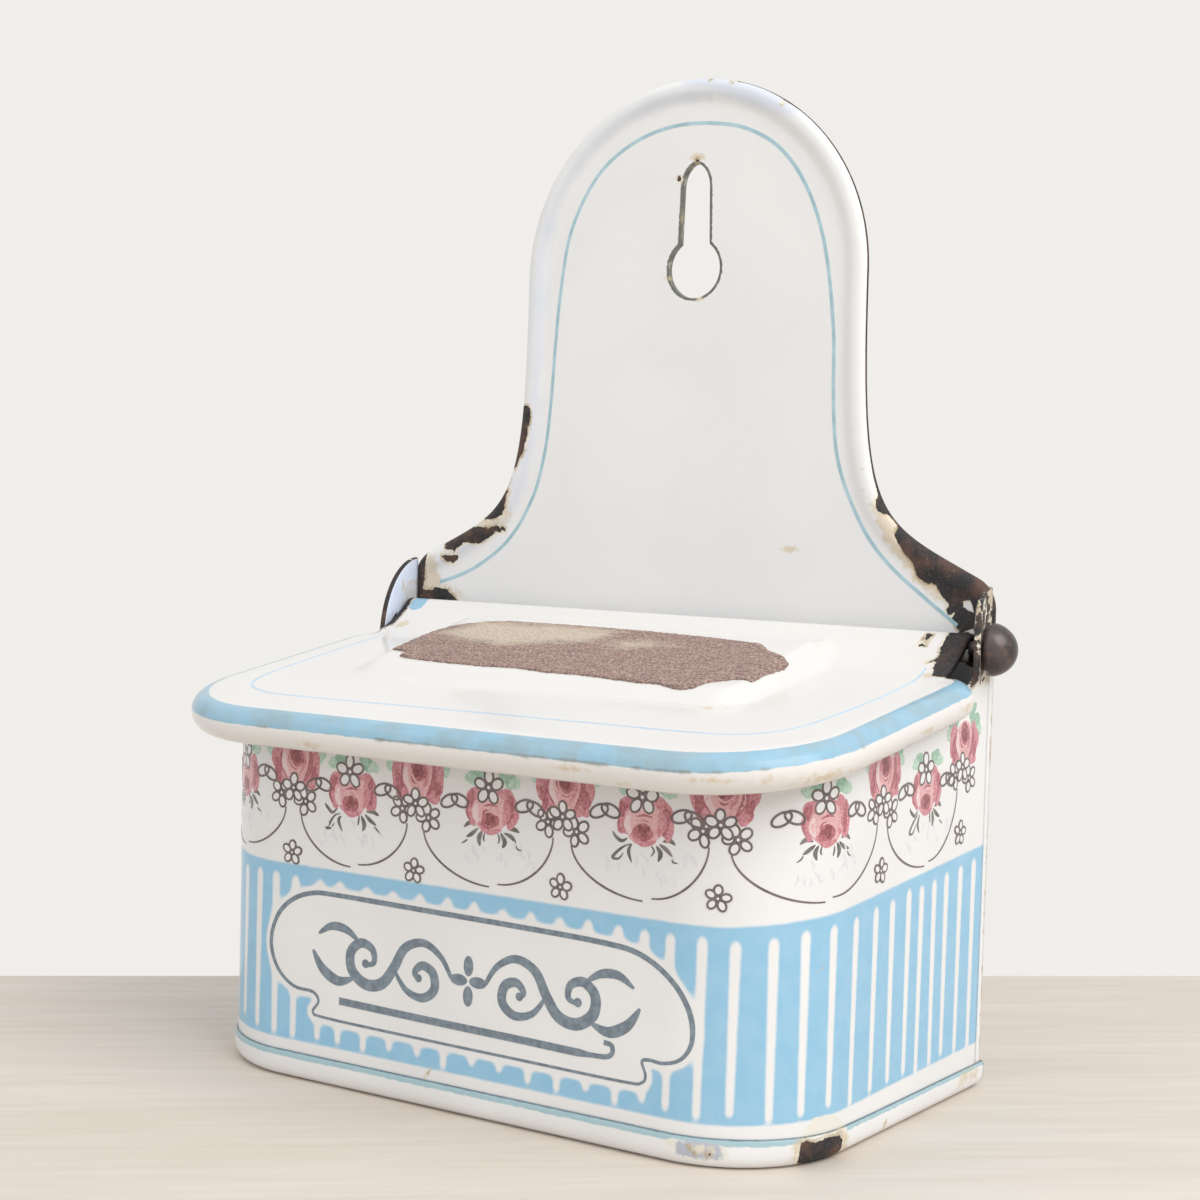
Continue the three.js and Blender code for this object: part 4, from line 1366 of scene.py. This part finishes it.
lid_enamel = enamel("lid enamel", (
    ("blue", (0.285, 0.50, 0.64, 1), 0.12, 0.22, 420.0),
    ("dull", (0.30, 0.435, 0.50, 1), 0.5, 1.4, 190.0),
    ("dark", (0.24, 0.27, 0.26, 1), 0.30, 0.60, 360.0),
), rust=0.35, body=lid_white)
under_enamel = enamel("lid underside enamel", rust=0.35, body=lid_white, stained=0.0)
lid = new_piece("lid_enamelled", lid_points, lid_faces, "lid", lid_enamel, under_enamel)
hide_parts("lid")
lid_flat = np.array(lid_flat)
lid_arc = np.array(lid_arc)
lid_x, lid_y = lid_flat.T
band_foot = rim_radius * radians(74) - 0.35 * np.clip((lid_x - 50) / 12, 0, 1)
band = np.where(lid_arc >= 0, np.minimum(lid_arc + 0.15, band_foot - lid_arc), -2)
dab = [(-57.2, -3.6), (-59.3, -2.6), (-58.8, 1.4), (-55.6, 0.6), (-55.4, -2.4)]
mark(lid, "blue", np.maximum(band, inside_by(lid_flat, dab)))
line_wear = np.where((lid_x > -12) & (lid_y < -60), 0.07, -0.12)
blue_edge = line_wear - 0.9 * np.abs(lid_arc - band_foot + 0.1)
mark(lid, "dark", np.where(lid_arc > 0.5, blue_edge, unpainted))
mark(lid, "dull", np.minimum(band * 1.5 - 0.5, np.where(lid_x < 45, -0.02, -0.2)))
right_worn = [
    (58.6, -12.4), (57.2, -9.2), (56.7, -6), (56.1, -3), (56.6, 0.5), (57.4, 4.4), (56.9, 9),
    (62, 10), (62, -12.4),
]
lid_chips = (
    [(-59, -8.5), (-60.9, -9), (-60.9, 6), (-59.3, 5), (-59.6, -2)],
    [(55.4, -8.3), (58.2, -6), (58.2, -5.6), (55.3, -8)],
    [(52.6, -1.6), (53.6, -1.5), (53.5, -0.8), (52.7, -0.9)],
    [(51.9, -3.6), (53.6, -3.5), (53.4, -2.9), (52.1, -3.1)],
)
mark(lid, "chip", np.maximum(
    inside_by(lid_flat, right_worn), deepest(lid_flat, lid_chips) + 0.1,
))
lid_stain = np.full(len(lid_flat), unharmed)
for x, y, arc_place, wide, high in (
    (64.6, -17, 5.5, 4.5, 0.9), (64.8, -31, 6.2, 4.5, 0.8), (57, -74, 5.6, 2.2, 1),
    (62, -62, 6.8, 4, 1.1), (-25, -75, 6.5, 3, 0.9), (35, -75, 7.2, 2, 0.7),
    (50, -76, 5.2, 6, 0.5), (26, -76, 5.2, 4.5, 0.6), (-3, -75, 7.6, 1.6, 0.6),
):
    deep = 3.2 if y > -40 else 8
    spot = np.hypot((lid_x - x) / wide, (lid_y - y) / deep)
    spot = np.hypot(spot, (lid_arc - arc_place) / high)
    lid_stain = np.maximum(lid_stain, np.where(lid_arc > 0.1, 1.6 - 1.6 * spot, unharmed))
stain_dots = ((33.5, -46.0, 1.5), (36.5, -45.5, 1.0), (57.5, -12.5, 1.6), (-57, -8, 1.8))
mark(lid, "stain", np.maximum(lid_stain, within_dots(lid_flat, stain_dots)))
thicken(lid, lid_sheet).material_offset = 1


def on_lid(x, y, lift):
    return lid_place(x, y, float(lid_height(x, y)) + lift)


lid_line_knots = [
    (56, -9.6), (56.7, -21), (56, -36), (53.9, -50.6), (50.6, -57), (45.2, -60.4),
    (36, -61.4), (20, -61.6), (0, -62), (-18, -62.4), (-40, -62.8), (-47.6, -61.4),
    (-52.9, -57.2), (-55.6, -50), (-57, -38), (-57.9, -24), (-58.4, -12),
]
lid_print = Transfer(on_lid)
lid_line = smooth_line(lid_line_knots, 6)
lid_print.stroke(lid_line, swelling(len(lid_line), 0.34, 0.56))
pale_blue = ink("lid blue line", (0.42, 0.62, 0.82, 1), (0.52, 0.71, 0.86, 1), 200.0)
lid_print.finish("lid_blue_line", "lid", [pale_blue])

# Striking pad: a thin brown layer of grit and glue on the raised panel, ragged at its edge and
# rubbed pale along the back from years of striking.

pad_thickness = 0.4
pad_gap = 0.02
edge_rounding = 0.22
rounding_reach = 0.7
bump_height = 0.045
pad_knots = [
    (-38.9, -34.2), (-35.3, -35), (-34.6, -38), (-30.4, -38.9), (-23.2, -39.4), (-15, -39.6),
    (-8.2, -39), (-0.8, -40.2), (4.4, -39.9), (10.2, -40.5), (17.6, -41.2), (21.6, -41.1),
    (24.9, -42), (28.6, -41.6), (29.6, -38.4), (32.9, -35.6), (36, -34.8), (36.1, -29.2),
    (36.6, -24.6), (36.4, -22), (30.6, -18.4), (27.2, -14.6), (17.6, -13.2), (1.2, -11.8),
    (-13, -11.4), (-27.4, -11.6), (-32.6, -13.2), (-37, -16.6), (-38.6, -20.6), (-39.2, -26),
]
ragged = random.Random(3)
pad_edge = [
    (x + ragged.uniform(-0.13, 0.13), y + ragged.uniform(-0.16, 0.16))
    for x, y in evenly(pad_knots, 0.45, closed=True)
]
places, triangles, _ = filled(pad_edge, [], 0.5)
edge_in = np.maximum(inside_by(places, pad_edge), 0)
bumps = np.random.default_rng(7).uniform(-1, 1, len(places))
rounding = edge_rounding * np.maximum(0, 1 - edge_in / rounding_reach) ** 2
pad_tops = pad_gap + pad_thickness - rounding + bump_height * bumps
pad_points = [on_lid(x, y, top) for (x, y), top in zip(places, pad_tops)]
grit = Look("striking grit")
grit_long = grit.stretched(grit.place, (0.22, 1, 1))
grit.colour = grit.lay_over(
    grit.patches(0.36, 0.64, 2400.0), (0.19, 0.118, 0.098, 1), (0.50, 0.352, 0.298, 1),
)
streak = grit.patches(0.47, 0.66, 1500.0, 5.0, 0.7, where=grit_long)
grit.coat(grit.times(streak, 0.65), (0.15, 0.115, 0.115, 1))
rubbed_edge = grit.times(grit.grain(700.0, 5.0, 0.7, where=grit_long), 9.0, grit.zone("rubbed"))
rubbed_grains = grit.times(grit.grain(2600.0), 1.7, -0.15)
grit.coat(grit.times(grit.ramp(rubbed_edge, 3.0, 9.0), rubbed_grains), (0.66, 0.58, 0.46, 1))
grit.coat(grit.times(grit.patches(0.64, 0.74, 3200.0, 1.0), 0.5), (0.60, 0.52, 0.45, 1))
grit_material = grit.finish(0.92, grit.grain(2200.0, 2.0), 0.0002, 0.9)
pad = new_piece("striking_pad_grit", pad_points, triangles, "lid", grit_material)
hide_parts("striker_pad")
mark(pad, "rubbed", np.maximum(
    inside_by(places, [(-38, -24), (-34, -13), (-16, -11.4), (0, -13), (-3, -22), (-20, -29)]),
    inside_by(places, [(-4, -21), (6, -17), (16, -20.5), (5, -26)]) - 0.6,
))
thicken(pad, pad_thickness)

# Hinge: a steel rod through both ears, a washer outside each ear, a domed knob on the right end
# and a flat button on the left one, all browned by age and rubbed smooth.

browned = Look("browned iron")
browned.colour = browned.lay_over(
    browned.patches(0.35, 0.7, 350.0, 4.0), (0.058, 0.047, 0.047, 1), (0.105, 0.082, 0.080, 1),
)
rust_spots = browned.patches(0.60, 0.72, 700.0, 4.0)
browned.coat(browned.times(rust_spots, 0.45), (0.20, 0.10, 0.06, 1))
fill(browned.shader, {"Metallic": 0.35})
iron = browned.finish(browned.times(rust_spots, 0.25, 0.30), browned.grain(900.0), 0.00005, 0.6)
for node_name in ("hinge_rod", "button_washer", "knob_washer", "rod_button"):
    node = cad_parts[node_name]
    node.data.materials.clear()
    node.data.materials.append(iron)
knob_low, knob_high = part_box("rod_knob")
knob_middle = (knob_low + knob_high) / 2
knob_radius = (knob_high.z - knob_low.z) / 2 / MM
knob_length = (knob_high.x - knob_low.x) / MM
knob_tip = knob_length * 0.995
knob_profile = smooth_line([
    (0, 0), (knob_radius * 0.9, 0), (knob_radius * 0.995, 0.25), (knob_radius * 0.97, 0.9),
    (knob_radius * 0.86, knob_length * 0.46), (knob_radius * 0.64, knob_length * 0.74),
    (knob_radius * 0.34, knob_length * 0.93), (0.0, knob_tip),
], 4)[1:-1]
knob_sides = 64
dent_depth = 0.012
knob_points = [knob_low + Vector((0, knob_radius * MM, knob_radius * MM))]
for radius, height in knob_profile:
    for k in range(knob_sides):
        turn = 2 * pi * k / knob_sides
        dent = 1 - dent_depth * (1 + sin(2 * turn + 0.7))
        knob_points.append(Vector((
            knob_low.x + max(height, 0) * MM,
            knob_middle.y + radius * dent * cos(turn) * MM,
            knob_middle.z + radius * dent * sin(turn) * MM,
        )))
knob_points.append(Vector((knob_low.x + knob_tip * MM, knob_middle.y, knob_middle.z)))
knob_rows = numbered(len(knob_profile), knob_sides, 1)
knob_faces = [(0, knob_rows[0][(k + 1) % knob_sides], knob_rows[0][k]) for k in range(knob_sides)]
knob_faces += faces_between(knob_rows, closed=True, flip=True)
last_row = knob_rows[-1]
knob_faces += [
    (last_row[k], last_row[(k + 1) % knob_sides], len(knob_points) - 1) for k in range(knob_sides)
]
knob = new_piece("rod_knob_browned", knob_points, knob_faces, "case", iron)
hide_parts("rod_knob")
